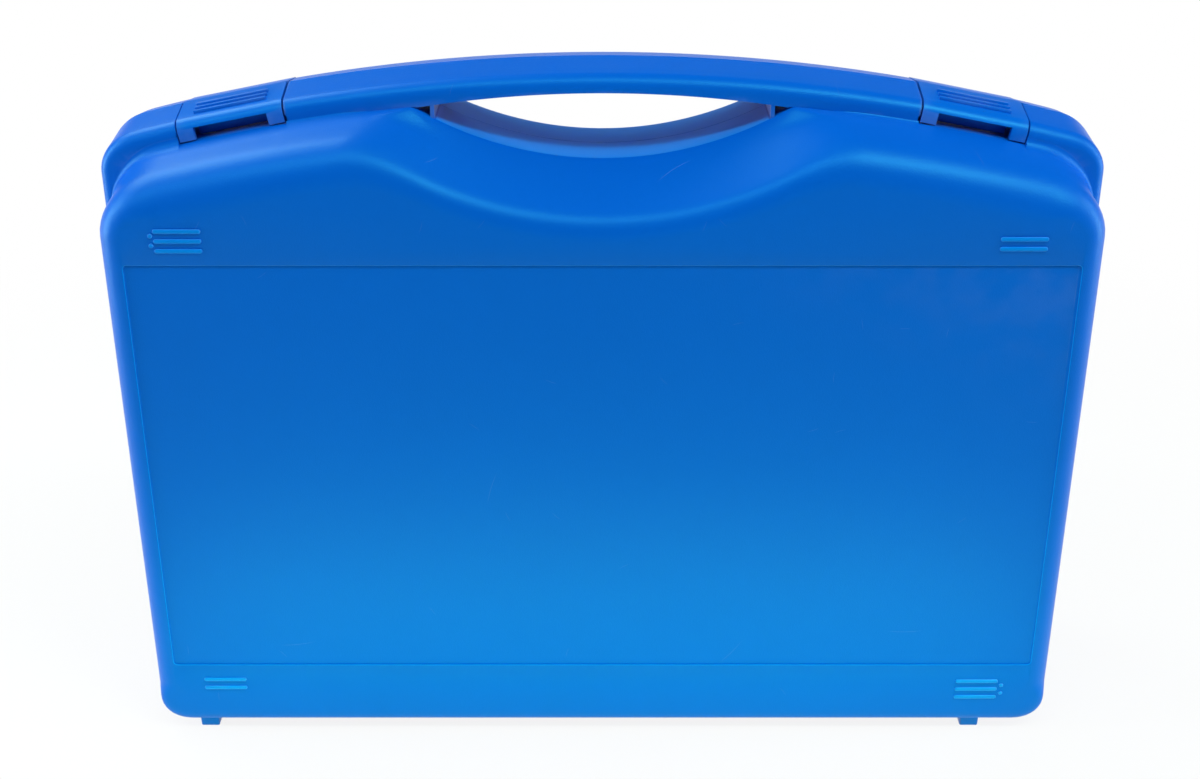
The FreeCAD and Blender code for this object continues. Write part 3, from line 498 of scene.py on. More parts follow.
def scoop_height(shape, x, depth, extra):
    """Height of the scoop and of the opening's floor at a place, lower by the extra for the inside."""
    centre = shape.floor_height + shape.floor_round
    slope = (shape.scoop_round - shape.floor_round) / (shape.depth - shape.band_depth)
    past = depth - shape.band_depth
    radius = shape.floor_round + slope * (past + math.sqrt(past * past + FLOOR_EDGE * FLOOR_EDGE)) / 2
    lip = shape.scoop_lip
    stretch = math.sqrt(1 + slope * slope)
    ahead = depth - shape.depth + lip
    if ahead > lip * slope / stretch:
        middle = shape.scoop_round - slope * lip + lip * stretch
        radius = middle - math.sqrt(max(lip * lip - ahead * ahead, 0.0))
    radius += extra
    if abs(x) >= radius * SCOOP_SPAN:
        return math.inf
    return centre - math.sqrt(radius * radius - x * x)


def scooped(shape, point, extra):
    """A point of the body, lowered where the scoop and the finger opening take it away."""
    x, y, z = point
    if abs(x) > SCOOP_REACH or z < shape.panel_high:
        return point
    scoop = scoop_height(shape, x, -y, extra)
    blend = SCOOP_EDGE + shape.scoop_blend * smooth_step((-y - shape.band_depth) / SCOOP_RUN)
    if scoop - z > blend:
        return point
    return (x, y, smooth_min(z, scoop, blend))


def body_rings(shape, inset, extra):
    """Rings of points over the body, from the parting plane to its front."""
    columns = []
    for station in body_stations(shape):
        section = body_section(shape, station, inset)
        columns.append([scooped(shape, station.point(*place), extra) for place in section])
    return [list(ring) for ring in zip(*columns)]


def unit(ways):
    """Rows of directions, each made 1 long."""
    return ways / np.maximum(np.linalg.norm(ways, axis=1, keepdims=True), TINY)


def shrunk(ring, amount):
    """A flat loop drawn in towards its own inside."""
    flat = np.array([(p[0], p[2]) for p in ring])
    along = unit(np.roll(flat, -1, axis=0) - np.roll(flat, 1, axis=0))
    inward = np.column_stack((along[:, 1], -along[:, 0]))
    moved = flat + inward * amount
    return [(p[0], r[1], p[1]) for p, r in zip(moved, ring)]


FLAT_INSET = mm(0.15)
INNER_EXTRA = mm(3)
PANEL_CORNER = mm(1.6)
PANEL_ROUND = 5
PANEL_LIP = 3
# The panel's edge, from the front inwards: share of its depth and growth of its outline in millimetres
PANEL_STEPS = ((0.0, 0.30), (0.12, 0.12), (0.40, 0.0), (0.80, -0.06), (1.0, -0.30), (1.0, -1.2))


def panel_loop(shape, grow, deep):
    """The panel's outline, grown and set back, clockwise seen from the front."""
    half, corner = shape.panel_half + grow, PANEL_CORNER + grow
    low, high = shape.panel_low - grow, shape.panel_high + grow
    loop = []
    right, left, top, bottom = half - corner, -half + corner, high - corner, low + corner
    for quarter, (x, z) in enumerate(((right, top), (right, bottom), (left, bottom), (left, top))):
        for angle in spread(quarter * math.pi / 2, (quarter + 1) * math.pi / 2, PANEL_ROUND):
            loop.append((x + corner * math.sin(angle), -shape.depth + deep, z + corner * math.cos(angle)))
    return loop


def in_opening(shape, point):
    """Whether a point of the body lies on the finger opening's floor."""
    x, y, z = point
    return abs(x) < shape.opening_half and -y < shape.band_depth and z > shape.panel_high


def body_skin(skin, shape):
    """The body's outside with its panel, its inside and its edge at the parting plane."""
    outer = body_rings(shape, 0, 0)
    outer.append(shrunk(outer[-1], FLAT_INSET))
    rows = skin.rings(outer)
    # Faces on the finger opening's floor take the lighter blue: painted light where the handle shades the
    # floor
    for number, face in enumerate(skin.faces):
        if all(in_opening(shape, skin.points[corner]) for corner in face):
            skin.worn.add(number)
    steps = [panel_loop(shape, mm(grow), shape.panel_deep * deep) for deep, grow in PANEL_STEPS]
    # The panel's lip takes the lighter blue: wear, and a painted highlight along the edge that the lamps
    # leave dark
    start = len(skin.faces)
    panel = skin.rings(steps[:PANEL_LIP])
    skin.wear(start)
    panel += skin.rings(steps[PANEL_LIP - 1:])
    skin.fill(rows[-1], [panel[0]])
    skin.fill(panel[-1])
    inside = skin.rings(body_rings(shape, shape.wall, INNER_EXTRA))
    skin.fill(inside[-1])
    skin.strip(rows[0], inside[0])


def rim_stations(shape):
    """The rim's outline, right half from the middle of the top."""
    return half_outline(shape, shape.arch, shape.rim_half, shape.rim_corner)


def underside(shape, x):
    """Height of the handle's underside."""
    reach = shape.under_round
    return shape.under_height - reach + math.sqrt(reach * reach - x * x)


UNDER_REACH = mm(75.4)
BAND_SINK = mm(0.1)


def band_root(shape, station, body):
    """How far below the rim the band meets the body or the handle ends."""
    if station.top == 1.0:
        if abs(station.x) < UNDER_REACH:
            return (station.z - underside(shape, station.x)) * -station.inward[1]
        return shape.band_height + BAND_SINK
    start = np.array((station.x, station.z))
    inward = np.array(station.inward)
    away = body - start
    along = away @ inward
    aside = np.abs(away @ np.array((-inward[1], inward[0])))
    nearest = np.argmin(np.where((along > 0) & (along < shape.high_corner), aside, np.inf))
    return float(along[nearest]) + BAND_SINK


SEAM_CHAMFER = mm(0.55)
# Depths of the rows over the band's crown, in millimetres
CROWN_DEPTHS = (6, 11)
BAND_ARC = 12
HOLLOW_EDGE = mm(1)


def crown_arc(shape, radius):
    """The rounding from the band's crown to its front, about the band's own centre."""
    start = math.atan2(shape.crown_drop, shape.crown_depth)
    centre = (shape.band_edge, shape.band_depth - shape.band_round)
    return arc(centre, radius, start, math.pi / 2, BAND_ARC)


def band_outside(shape, station, root):
    """Inset and depth of the band's outside at a place, from the parting plane to its root."""
    top_arc = crown_arc(shape, shape.band_round)
    side_centre = (shape.rim_round, shape.band_depth - shape.rim_round)
    side_arc = arc(side_centre, shape.rim_round, 0, math.pi / 2, BAND_ARC)
    slope = shape.crown_drop / shape.crown_depth * station.top
    section = [(SEAM_CHAMFER, shape.seam)]
    section += [(slope * d, d) for d in (shape.seam + SEAM_CHAMFER, *map(mm, CROWN_DEPTHS))]
    section += [mix(b, a, station.top) for a, b in zip(top_arc, side_arc)]
    section.append((root, shape.band_depth))
    return section


def band_ring(shape, station, body, hollow=False):
    """One closed ring of the band's section."""
    root = band_root(shape, station, body)
    section = band_outside(shape, station, root)
    section.append((root, shape.seam))
    if hollow:
        wall = shape.wall
        section += [(root - wall, shape.seam), (root - wall, shape.band_depth - wall),
                    (shape.band_edge - HOLLOW_EDGE, shape.band_depth - wall),
                    (shape.crown_drop + wall, shape.crown_depth), (wall, shape.seam)]
    return [station.point(*place) for place in section]


END_CHAMFER = mm(0.7)
END_STEP = 4


def chamfered(rings):
    """Rings of a bar with a small rounding at its first end."""
    points = np.array(rings[0])
    middle = points.mean(axis=0)
    reach = np.linalg.norm(points - middle, axis=1, keepdims=True)
    inward = (middle - points) / np.maximum(reach, END_CHAMFER)
    along = unit(np.array(rings[1]) - points)
    rounded = []
    for angle in spread(0, math.pi / 2, END_STEP):
        drawn_in = END_CHAMFER * (1 - math.sin(angle))
        back = END_CHAMFER * (1 - math.cos(angle))
        rounded.append([tuple(p) for p in points + inward * drawn_in + along * back])
    return rounded + rings[1:]


HOLLOW_END = mm(115)
RIM_FOOT = mm(0.2)


def in_rim_end(shape, station):
    """Whether a place on the rim lies past the latch and above the flat of the bottom."""
    if station.top == 0:
        return station.z > shape.bottom + RIM_FOOT and station.x > shape.rim_half - shape.low_corner
    return station.top < 1 or arch_angle(shape, station) > notch_angles(shape)[1] - TINY


def in_handle(shape, station):
    """Whether a place on the rim lies between the middle and the latch."""
    return station.top == 1 and arch_angle(shape, station) < notch_angles(shape)[0] + TINY


def band_skin(skin, shape):
    """The rim band: both rim ends and the handle between the latches."""
    stations = rim_stations(shape)
    body = np.array([(s.x, s.z) for s in body_stations(shape)])
    half = [s for s in stations if in_handle(shape, s)]
    rim_end = [s for s in stations if in_rim_end(shape, s)]
    handle_end = [s for s in reversed(half) if s.x >= HOLLOW_END]
    for stretch in (rim_end, handle_end):
        for places in (stretch, [s.mirrored() for s in stretch]):
            skin.sweep(chamfered([band_ring(shape, s, body) for s in places]))
    middle = [s for s in half if s.x <= handle_end[-1].x + TINY]
    middle = [s.mirrored() for s in reversed(middle[1:])] + middle
    skin.sweep([band_ring(shape, s, body, hollow=True) for s in middle])


RIB_FRONTS = (mm(0.6), mm(0.1))
RIB_LOW_DEPTH = mm(1)
RIB_SINK = mm(0.4)


def opening_ribs(skin, shape):
    """The thin ribs that close the ends of the finger opening."""
    for side in SIDES.values():
        rings = []
        for depth in (shape.seam, *(shape.band_depth - back for back in RIB_FRONTS)):
            ring = []
            for x in (shape.opening_half, shape.opening_half + shape.rib_wall):
                low = scoop_height(shape, x, RIB_LOW_DEPTH, RIB_SINK)
                high = underside(shape, x) + RIB_SINK
                ring += [(side * x, -depth, low), (side * x, -depth, high)]
            rings.append([ring[0], ring[1], ring[3], ring[2]])
        skin.sweep(rings)


FOOT_X = (mm(-178.3), mm(166.8))
FOOT_WIDTH = mm(9)
FOOT_LENGTH = mm(9.5)
FOOT_INSET = mm(3)
FOOT_TAPER = mm(0.4)
FOOT_EDGE = mm(0.7)
FOOT_ROUND = 3


def foot(skin, shape, x):
    """A tapered foot under the body, its edges rounded."""
    middle = -(shape.depth - FOOT_INSET) + FOOT_LENGTH / 2
    height = shape.bottom + shape.wall / 2
    made = bmesh.new()
    bmesh.ops.create_cube(made, size=1)
    for vert in made.verts:
        taper = FOOT_TAPER if vert.co.z < 0 else 0
        across = (FOOT_WIDTH - 2 * taper) * vert.co.x
        along = (FOOT_LENGTH - 2 * taper) * vert.co.y
        vert.co = (x + across, middle + along, (vert.co.z + 0.5) * height)
    skin.rounded(made, FOOT_EDGE, FOOT_ROUND)


KNUCKLE = {"radius": mm(4), "bore": mm(1.55), "length": mm(14), "gap": mm(0.5), "height": mm(4.5),
           "edge": mm(0.4), "steps": 32, "web": mm(8), "web_clear": mm(0.4), "web_edge": mm(0.3)}
HINGE_X = mm(110)


def knuckle(skin, shape, x):
    """A hinge knuckle with its bore, and the web that carries it, on the front shell."""
    half, edge, middle = KNUCKLE["length"] / 2, KNUCKLE["edge"], KNUCKLE["height"]
    outline = ((-half, -edge), (-half + edge, 0), (half - edge, 0), (half, -edge))
    reach = [(x + along, KNUCKLE["radius"] + drop) for along, drop in outline]
    reach += [(x + half, KNUCKLE["bore"]), (x - half, KNUCKLE["bore"])]
    rings = []
    for step in range(KNUCKLE["steps"]):
        angle = 2 * math.pi * step / KNUCKLE["steps"]
        rings.append([(along, r * math.cos(angle), middle + r * math.sin(angle)) for along, r in reach])
    skin.rings(rings + rings[:1])
    skin.block((x - half, -KNUCKLE["web"], middle + KNUCKLE["bore"] + KNUCKLE["web_clear"]),
               (x + half, -shape.seam, shape.bottom + shape.wall / 2), KNUCKLE["web_edge"])


BAR_LENGTH = mm(19)
BAR_WIDTH = mm(1.85)
BAR_PROUD = mm(0.8)
BAR_ROUND = 9
# A bar's section, from its root to its top: growth of its radius by its width and share of its height
BAR_PROFILE = ((0.0, -0.3), (0.0, 0.45), (-0.12, 0.8), (-0.35, 1.0))
DOT_WIDTH = mm(1.9)
DOT_LENGTH = DOT_WIDTH * 1.01
# Each corner in millimetres: the bars' middle, their heights, the dots' middle and their heights
BARS = (
    (-167.4, (239.4, 235.3, 231.2), -178.0, (237.5, 233.4)),
    (166.2, (236.2, 232.1), 0, ()),
    (-168.3, (27.9, 23.6), 0, ()),
    (167.2, (26.9, 22.7, 18.5), 178.4, (24.7, 20.6)),
)


def raised_bar(skin, shape, x, z, span, width):
    """A low rounded bar on the front."""
    rings = []
    for grow, proud in BAR_PROFILE:
        radius = width * (0.5 + grow)
        front = -shape.depth - BAR_PROUD * proud
        ring = []
        for way in (1, -1):
            for angle in spread(-math.pi / 2, math.pi / 2, BAR_ROUND):
                across = way * ((span - width) / 2 + radius * math.cos(angle))
                ring.append((x + across, front, z + way * radius * math.sin(angle)))
        rings.append(ring)
    skin.sweep(rings)


def half_turn(rear):
    """The turn that makes a rear piece of a front one."""
    return Matrix.Rotation(math.pi, 4, "Z") if rear else None


def corner_bars(shape, name, material, rear):
    """The raised bars and dots in the corners of a shell's face, in the lighter blue."""
    skin = Skin()
    for x, heights, dot_x, dot_heights in BARS:
        for z in heights:
            raised_bar(skin, shape, mm(x), mm(z), BAR_LENGTH, BAR_WIDTH)
        for z in dot_heights:
            raised_bar(skin, shape, mm(dot_x), mm(z), DOT_LENGTH, DOT_WIDTH)
    return skin.make(name, material, turn=half_turn(rear))


def shell(shape, name, material, worn, rear):
    """One shell with its band, feet and knuckles; the rear one is the front one turned about."""
    skin = Skin()
    body_skin(skin, shape)
    band_skin(skin, shape)
    opening_ribs(skin, shape)
    for x in FOOT_X:
        foot(skin, shape, x)
    step = KNUCKLE["length"] + KNUCKLE["gap"]
    for side in SIDES.values():
        for place in ((0,) if rear else (-step, step)):
            knuckle(skin, shape, side * HINGE_X + place)
    return skin.make(name, material, turn=half_turn(rear), worn=worn)


# Latches

LATCH = {"skin": mm(2.4), "pivot_depth": mm(18.2), "barrel": mm(3), "leg_width": mm(6.5),
         "leg_drop": mm(11.1), "lip_drop": mm(6.2), "lip_lap": mm(0.5), "heel_drop": mm(9.2)}
LATCH_EDGE = {"width": mm(0.6), "segments": 3, "limit_method": "ANGLE", "angle_limit": math.radians(35)}
LATCH_SHARP = math.radians(40)
RIB = {"count": 3, "length": mm(30), "proud": mm(1.1), "width": mm(2.0), "pitch": mm(3.5), "start": mm(5.6),
       "sink": mm(0.3), "edge": mm(0.28)}
TONGUE = {"depth": mm(14.5), "thick": mm(1.6), "drop": mm(11.0), "gap": mm(0.5), "top": mm(1),
          "edge": mm(0.3)}


def latch_section(shape, drop):
    """Depth and height points of a latch's section, its lip ending at a drop."""
    ball, thin = shape.band_round, LATCH["skin"]
    outer = crown_arc(shape, ball)
    inner = crown_arc(shape, ball - thin)
    last = math.sqrt(max(ball ** 2 - max(shape.band_edge - drop, 0) ** 2, 0)) + shape.band_depth - ball
    heel, low = LATCH["pivot_depth"] - LATCH["barrel"], -LATCH["heel_drop"]
    heel_top = -heel * shape.crown_drop / shape.crown_depth - thin
    section = [(0, 0)] + [(-d, -i) for i, d in outer if i < drop]
    section += [(-last, -drop), (-last + thin, -drop)]
    section += [(-d, -i) for i, d in reversed(inner) if i < drop]
    section += [(0, -thin), (heel, heel_top), (heel, low), (shape.band_depth, low)]
    section += [(d, -i) for i, d in reversed(outer)]
    return section


def latch_stretches(name, shape, drop, stretches, material):
    """Straight stretches of a latch whose lip ends at a drop."""
    skin = Skin()
    section = latch_section(shape, drop)
    for stretch in stretches:
        skin.sweep([[(x, d, h) for d, h in section] for x in stretch])
    return skin.make(name, material)


def latch_ribs(name, shape, gap, material):
    """The grip ribs on a latch and the tongue between its legs."""
    skin = Skin()
    slope = shape.crown_drop / shape.crown_depth
    for index in range(RIB["count"]):
        near = RIB["start"] + index * RIB["pitch"]
        low = -(near + RIB["width"] / 2) * slope
        skin.block((-RIB["length"] / 2, -near - RIB["width"], low - RIB["sink"]),
                   (RIB["length"] / 2, -near, low + RIB["proud"]), RIB["edge"])
    reach = gap - TONGUE["gap"]
    back = -TONGUE["depth"] + TONGUE["thick"]
    skin.block((-reach, -TONGUE["depth"], -TONGUE["drop"]),
               (reach, back, -shape.crown_drop - TONGUE["top"]), TONGUE["edge"])
    return skin.make(name, material)


def latch_piece(shape, word, material):
    """A latch flap with a cut-out lip, two legs, a tongue and grip ribs, leaning with the arch."""
    half = shape.latch_width / 2
    gap = half - LATCH["leg_width"]
    lap = gap + LATCH["lip_lap"]
    legs = ((-half, -gap), (gap, half))
    flap = latch_stretches(word + "_latch_legs", shape, LATCH["leg_drop"], legs, material)
    lip = latch_stretches(word + "_latch_lip", shape, LATCH["lip_drop"], ((-lap, lap),), material)
    union = {"operation": "UNION", "object": lip, "solver": "EXACT"}
    modified(flap, ("BOOLEAN", union), ("BEVEL", LATCH_EDGE))
    bpy.data.objects.remove(lip)
    ribs = latch_ribs(word + "_latch_ribs", shape, gap, material)
    piece = joined(word + "_latch_flap", [flap, ribs])
    centre = Matrix.Translation((0, 0, arch_centre(shape)))
    lean = Matrix.Rotation(SIDES[word] * shape.latch_lean, 4, "Y")
    piece.data.transform(centre @ lean @ Matrix.Translation((0, 0, shape.arch)))
    piece.data.set_sharp_from_angle(angle=LATCH_SHARP)
    return piece


# Foam in the lid

FOAM_PITCH = mm(26)
FOAM_BASE = mm(9)
FOAM_GRID = mm(2.6)
FOAM_BORDER = mm(10)
FOAM_SHARP = 60


def foam_pad(material):
    """A convoluted foam pad: rows of soft peaks on a flat back."""
    low, high = PAD_LOW, PAD_HIGH
    columns = int((high.x - low.x) / FOAM_GRID) + 1
    rows = int((high.z - low.z) / FOAM_GRID) + 1
    peak = high.y - low.y - FOAM_BASE
    grid = []
    for z in spread(low.z, high.z, rows):
        line = []
        for x in spread(low.x, high.x, columns):
            wave = math.cos(math.pi * x / FOAM_PITCH) * math.cos(math.pi * (z - low.z) / FOAM_PITCH)
            border = min(x - low.x, high.x - x, z - low.z, high.z - z)
            held = smooth_step(border / FOAM_BORDER)
            line.append((x, low.y + FOAM_BASE + peak * (0.5 + 0.5 * wave) * held, z))
        grid.append(line)
    skin = Skin()
    numbers = skin.rings(grid, closed=False)
    edge = numbers[0] + [row[-1] for row in numbers[1:-1]] + numbers[-1][::-1]
    edge += [row[0] for row in reversed(numbers[1:-1])]
    back = skin.add((skin.points[n][0], low.y, skin.points[n][2]) for n in edge)
    skin.strip(edge, back)
    skin.faces.append(tuple(back))
    return skin.make("lid_foam", material, sharp=FOAM_SHARP)


# Materials

# The colour sockets of a mix node, by their numbers
MIX_FACTOR, MIX_FIRST, MIX_SECOND, MIX_RESULT = 0, 6, 7, 2


class Nodes:
    """Short calls for building a node tree."""

    def __init__(self, tree):
        self.tree = tree

    def add(self, kind, inputs=None, **settings):
        """A node with its settings; inputs are values or other nodes' outputs."""
        made = self.tree.nodes.new(kind)
        for name, setting in settings.items():
            setattr(made, name, setting)
        self.feed(made, inputs or {})
        return made

    def feed(self, node, inputs):
        """Give a node's inputs their values or links."""
        for name, given in inputs.items():
            if isinstance(given, bpy.types.NodeSocket):
                self.tree.links.new(given, node.inputs[name])
            else:
                node.inputs[name].default_value = given

    def math(self, operation, *values):
        """The result of an operation on its values."""
        return self.add("ShaderNodeMath", dict(enumerate(values)), operation=operation).outputs[0]

    def ramp(self, fac, low, high):
        """A value eased from 0 at low to 1 at high."""
        made = self.add("ShaderNodeMapRange", {"Value": fac, "From Min": low, "From Max": high},
                        interpolation_type="SMOOTHSTEP")
        return made.outputs["Result"]

    def mix(self, fac, first, second):
        """A mix of two colours."""
        sockets = {MIX_FACTOR: fac, MIX_FIRST: first, MIX_SECOND: second}
        return self.add("ShaderNodeMix", sockets, data_type="RGBA").outputs[MIX_RESULT]

    def place(self):
        """The object's own coordinates."""
        return self.add("ShaderNodeTexCoord").outputs["Object"]

    def noise(self, **inputs):
        """Noise over the object's own coordinates."""
        return self.add("ShaderNodeTexNoise", {"Vector": self.place(), **inputs}).outputs["Fac"]

    def bump(self, height, strength, distance):
        """A normal raised by a height."""
        inputs = {"Height": height, "Strength": strength, "Distance": distance}
        return self.add("ShaderNodeBump", inputs).outputs["Normal"]


def group(name, setting, default, *results):
    """A new shader node group with one setting and its results, and its input and output nodes."""
    tree = bpy.data.node_groups.new(name, "ShaderNodeTree")
    tree.interface.new_socket(setting, in_out="INPUT", socket_type="NodeSocketFloat").default_value = default
    for result in results:
        tree.interface.new_socket(result, in_out="OUTPUT", socket_type="NodeSocketFloat")
    nodes = Nodes(tree)
    return nodes, nodes.add("NodeGroupInput").outputs[setting], nodes.add("NodeGroupOutput")


GRAIN_SCALE = 900.0
GROUP_WEAR = 0.5


def grain_group():
    """Fine moulded grain: a height and a patchy mask, by the object's own coordinates."""
    nodes, scale, out = group("Moulded grain", "Scale", GRAIN_SCALE, "Height", "Patches")
    fine = nodes.noise(Scale=scale, Detail=3.0, Roughness=0.65)
    patches = nodes.noise(Scale=14.0, Detail=5.0, Roughness=0.6)
    nodes.feed(out, {"Height": fine, "Patches": patches})
    return nodes.tree


# Each layer of scratches: cells in a metre, length, width, bend and the share of cells left bare
SCRATCH_LAYERS = (
    (15.0, mm(9), mm(0.10), 9.0, 0.62),
    (45.0, mm(3), mm(0.08), 30.0, 0.80),
)
LINE_CORE = 1 / 3


def scratch_layer(nodes, place, cells, reach, width, bend, bare):
    """Short bent lines, at most one in each cell of the front, each turned its own way."""
    spots = nodes.add("ShaderNodeTexVoronoi", {"Vector": place, "Scale": cells}, voronoi_dimensions="2D")
    chance = nodes.add("ShaderNodeSeparateColor", {"Color": spots.outputs["Color"]}).outputs
    local = nodes.add("ShaderNodeVectorMath", {0: place, 1: spots.outputs["Position"]},
                      operation="SUBTRACT")
    turn = nodes.math("MULTIPLY", chance[0], 2 * math.pi)
    turned = nodes.add("ShaderNodeVectorRotate", {"Vector": local.outputs["Vector"], "Angle": turn},
                       rotation_type="Z_AXIS")
    along, across, _ = nodes.add("ShaderNodeSeparateXYZ", {"Vector": turned.outputs["Vector"]}).outputs
    bow = nodes.math("MULTIPLY", nodes.math("MULTIPLY", along, along), bend)
    off = nodes.math("ABSOLUTE", nodes.math("SUBTRACT", across, bow))
    line = nodes.ramp(off, width, width * LINE_CORE)
    ends = nodes.ramp(nodes.math("ABSOLUTE", along), reach, reach * LINE_CORE)
    kept = nodes.math("GREATER_THAN", chance[1], bare)
    return nodes.math("MULTIPLY", nodes.math("MULTIPLY", line, ends), kept)


SPECK_CELLS = 28.0
SPECK_EDGE = (0.022, 0.008)
SPECK_BARE = 0.86


def scratch_group():
    """Short scratches and specks from handling, as two masks."""
    nodes, amount, out = group("Handling marks", "Amount", GROUP_WEAR, "Scratches", "Specks")
    place = nodes.place()
    x, _, z = nodes.add("ShaderNodeSeparateXYZ", {"Vector": place}).outputs
    flat = nodes.add("ShaderNodeCombineXYZ", {"X": x, "Y": z}).outputs["Vector"]
    lines = nodes.math("MAXIMUM", *(scratch_layer(nodes, flat, *layer) for layer in SCRATCH_LAYERS))
    spots = nodes.add("ShaderNodeTexVoronoi", {"Vector": place, "Scale": SPECK_CELLS})
    small = nodes.ramp(spots.outputs["Distance"], *SPECK_EDGE)
    chance = nodes.add("ShaderNodeSeparateColor", {"Color": spots.outputs["Color"]}).outputs
    few = nodes.math("GREATER_THAN", chance[0], SPECK_BARE)
    nodes.feed(out, {"Scratches": nodes.math("MULTIPLY", lines, amount),
                     "Specks": nodes.math("MULTIPLY", small, few)})
    return nodes.tree


EDGE_STANDS = (0.53, 0.62)
EDGE_PATCHES = (0.35, 0.65)


def edge_group():
    """Where an edge stands out, worn a little lighter."""
    nodes, amount, out = group("Edge wear", "Amount", GROUP_WEAR, "Worn")
    standing = nodes.add("ShaderNodeNewGeometry").outputs["Pointiness"]
    patchy = nodes.noise(Scale=60.0, Detail=4.0)
    worn = nodes.math("MULTIPLY", nodes.ramp(standing, *EDGE_STANDS), nodes.ramp(patchy, *EDGE_PATCHES))
    nodes.feed(out, {"Worn": nodes.math("MULTIPLY", worn, amount)})
    return nodes.tree


def new_material(name):
    """A material with its tree and its main shader, joined to the output."""
    made = bpy.data.materials.new(name)
    made.use_nodes = True
    made.node_tree.nodes.clear()
    nodes = Nodes(made.node_tree)
    shader = nodes.add("ShaderNodeBsdfPrincipled")
    nodes.add("ShaderNodeOutputMaterial", {"Surface": shader.outputs["BSDF"]})
    return made, nodes, shader


def place_group(nodes, tree, **inputs):
    """A group's outputs, with the values of this material."""
    return nodes.add("ShaderNodeGroup", inputs, node_tree=tree).outputs


def rgba(colour_value, factor=1.0):
    """A colour with full alpha, lightened or darkened."""
    return tuple(min(c * factor, 1.0) for c in colour_value) + (1.0,)


# How the finishes vary: factors on their own colours, shares of a mask and swings of roughness
PATCH_TONES = (0.96, 1.04)
EDGE_WEAR = 0.6
PALE_SHARE = 0.16
SCRATCH_SHARE = 0.5
SPECK_SHARE = 0.7
SPECK_TONE = 0.25
PLASTIC_SWING = 0.04
PLASTIC_IOR = 1.49
PLASTIC_GLOSS = 0.5
PLASTIC_RELIEF = mm(0.3)
METAL_TONES = (0.9, 1.05)
METAL_EDGE = 1.25
METAL_SWING = 0.12
METAL_BUMP = 0.05
METAL_RELIEF = mm(0.2)
FOAM_BUMP = 0.8
FOAM_RELIEF = mm(0.8)
FOAM_ROUGH = 0.95
FOAM_CELLS = 900.0
FOAM_GRAIN = 300.0
FOAM_PORES = (0.25, 0.55)
FOAM_TONES = (1.25, 0.35)
PLAIN_SHINE = (1.0, 1.0, 1.0)


def varied(nodes, mask, middle, swing):
    """A value that swings about its middle with a mask."""
    return nodes.math("MULTIPLY_ADD", mask, swing, middle - swing / 2)


def toned(nodes, mask, tint, factors):
    """A colour between two tones of its own."""
    return nodes.mix(mask, *(rgba(tint, factor) for factor in factors))


def plastic(groups, tint, shine, wear, grain, rough, bump):
    """Moulded plastic with grain, patchy tone, handling marks and worn edges."""
    made, nodes, shader = new_material("finish")
    grains = place_group(nodes, groups["grain"], Scale=grain)
    marks = place_group(nodes, groups["marks"], Amount=wear)
    worn = place_group(nodes, groups["edge"], Amount=wear * EDGE_WEAR)["Worn"]
    pale = rgba(tuple(c + (1 - c) * PALE_SHARE for c in tint))
    tone = toned(nodes, grains["Patches"], tint, PATCH_TONES)
    tone = nodes.mix(nodes.math("MULTIPLY", marks["Scratches"], SCRATCH_SHARE), tone, pale)
    tone = nodes.mix(nodes.math("MULTIPLY", marks["Specks"], SPECK_SHARE), tone, rgba(tint, SPECK_TONE))
    height = nodes.math("SUBTRACT", grains["Height"], marks["Scratches"])
    nodes.feed(shader, {
        "Base Color": nodes.mix(worn, tone, pale),
        "Roughness": varied(nodes, grains["Patches"], rough, PLASTIC_SWING),
        "Normal": nodes.bump(height, bump, PLASTIC_RELIEF),
        "IOR": PLASTIC_IOR,
        "Specular IOR Level": PLASTIC_GLOSS,
        "Specular Tint": rgba(shine),
    })
    return made


def metal(groups, tint, streak, rough):
    """Plated or bare steel with fine polishing marks and a patchy shine."""
    made, nodes, shader = new_material("finish")
    grains = place_group(nodes, groups["grain"], Scale=streak)
    worn = place_group(nodes, groups["edge"], Amount=GROUP_WEAR)["Worn"]
    tone = toned(nodes, grains["Patches"], tint, METAL_TONES)
    nodes.feed(shader, {
        "Base Color": nodes.mix(worn, tone, rgba(tint, METAL_EDGE)),
        "Roughness": varied(nodes, grains["Height"], rough, METAL_SWING),
        "Normal": nodes.bump(grains["Height"], METAL_BUMP, METAL_RELIEF),
        "Metallic": 1.0,
    })
    return made


def foam(groups, tint):
    """Open foam: pores as dark pits."""
    made, nodes, shader = new_material("finish")
    spots = nodes.add("ShaderNodeTexVoronoi", {"Vector": nodes.place(), "Scale": FOAM_CELLS})
    cells = spots.outputs["Distance"]
    pores = toned(nodes, nodes.ramp(cells, *FOAM_PORES), tint, FOAM_TONES)
    patches = place_group(nodes, groups["grain"], Scale=FOAM_GRAIN)["Patches"]
    nodes.feed(shader, {
        "Base Color": nodes.mix(patches, pores, rgba(tint)),
        "Roughness": FOAM_ROUGH,
        "Normal": nodes.bump(cells, FOAM_BUMP, FOAM_RELIEF),
    })
    return made


FINISH = "%s_finish"
# Each plastic's colour, share of the wear, grain, roughness and bump
PLASTICS = {
    "case_plastic": ("case_blue", 1.0, 1500.0, 0.36, 0.30),
    "latch_plastic": ("latch_blue", 1.0, 1500.0, 0.34, 0.12),
    "worn_plastic": ("worn_blue", 1.0, 1500.0, 0.32, 0.05),
    "tray_plastic": ("tray_black", 0.3, 700.0, 0.42, 0.10),
    "grip_rubber": ("rubber", 0.2, 600.0, 0.62, 0.20),
}
# Each metal's colour, streaks and roughness
METALS = {
    "chrome_steel": ("chrome", 500.0, 0.16),
    "bright_steel": ("steel", 700.0, 0.28),
    "black_steel": ("oxide", 600.0, 0.42),
}


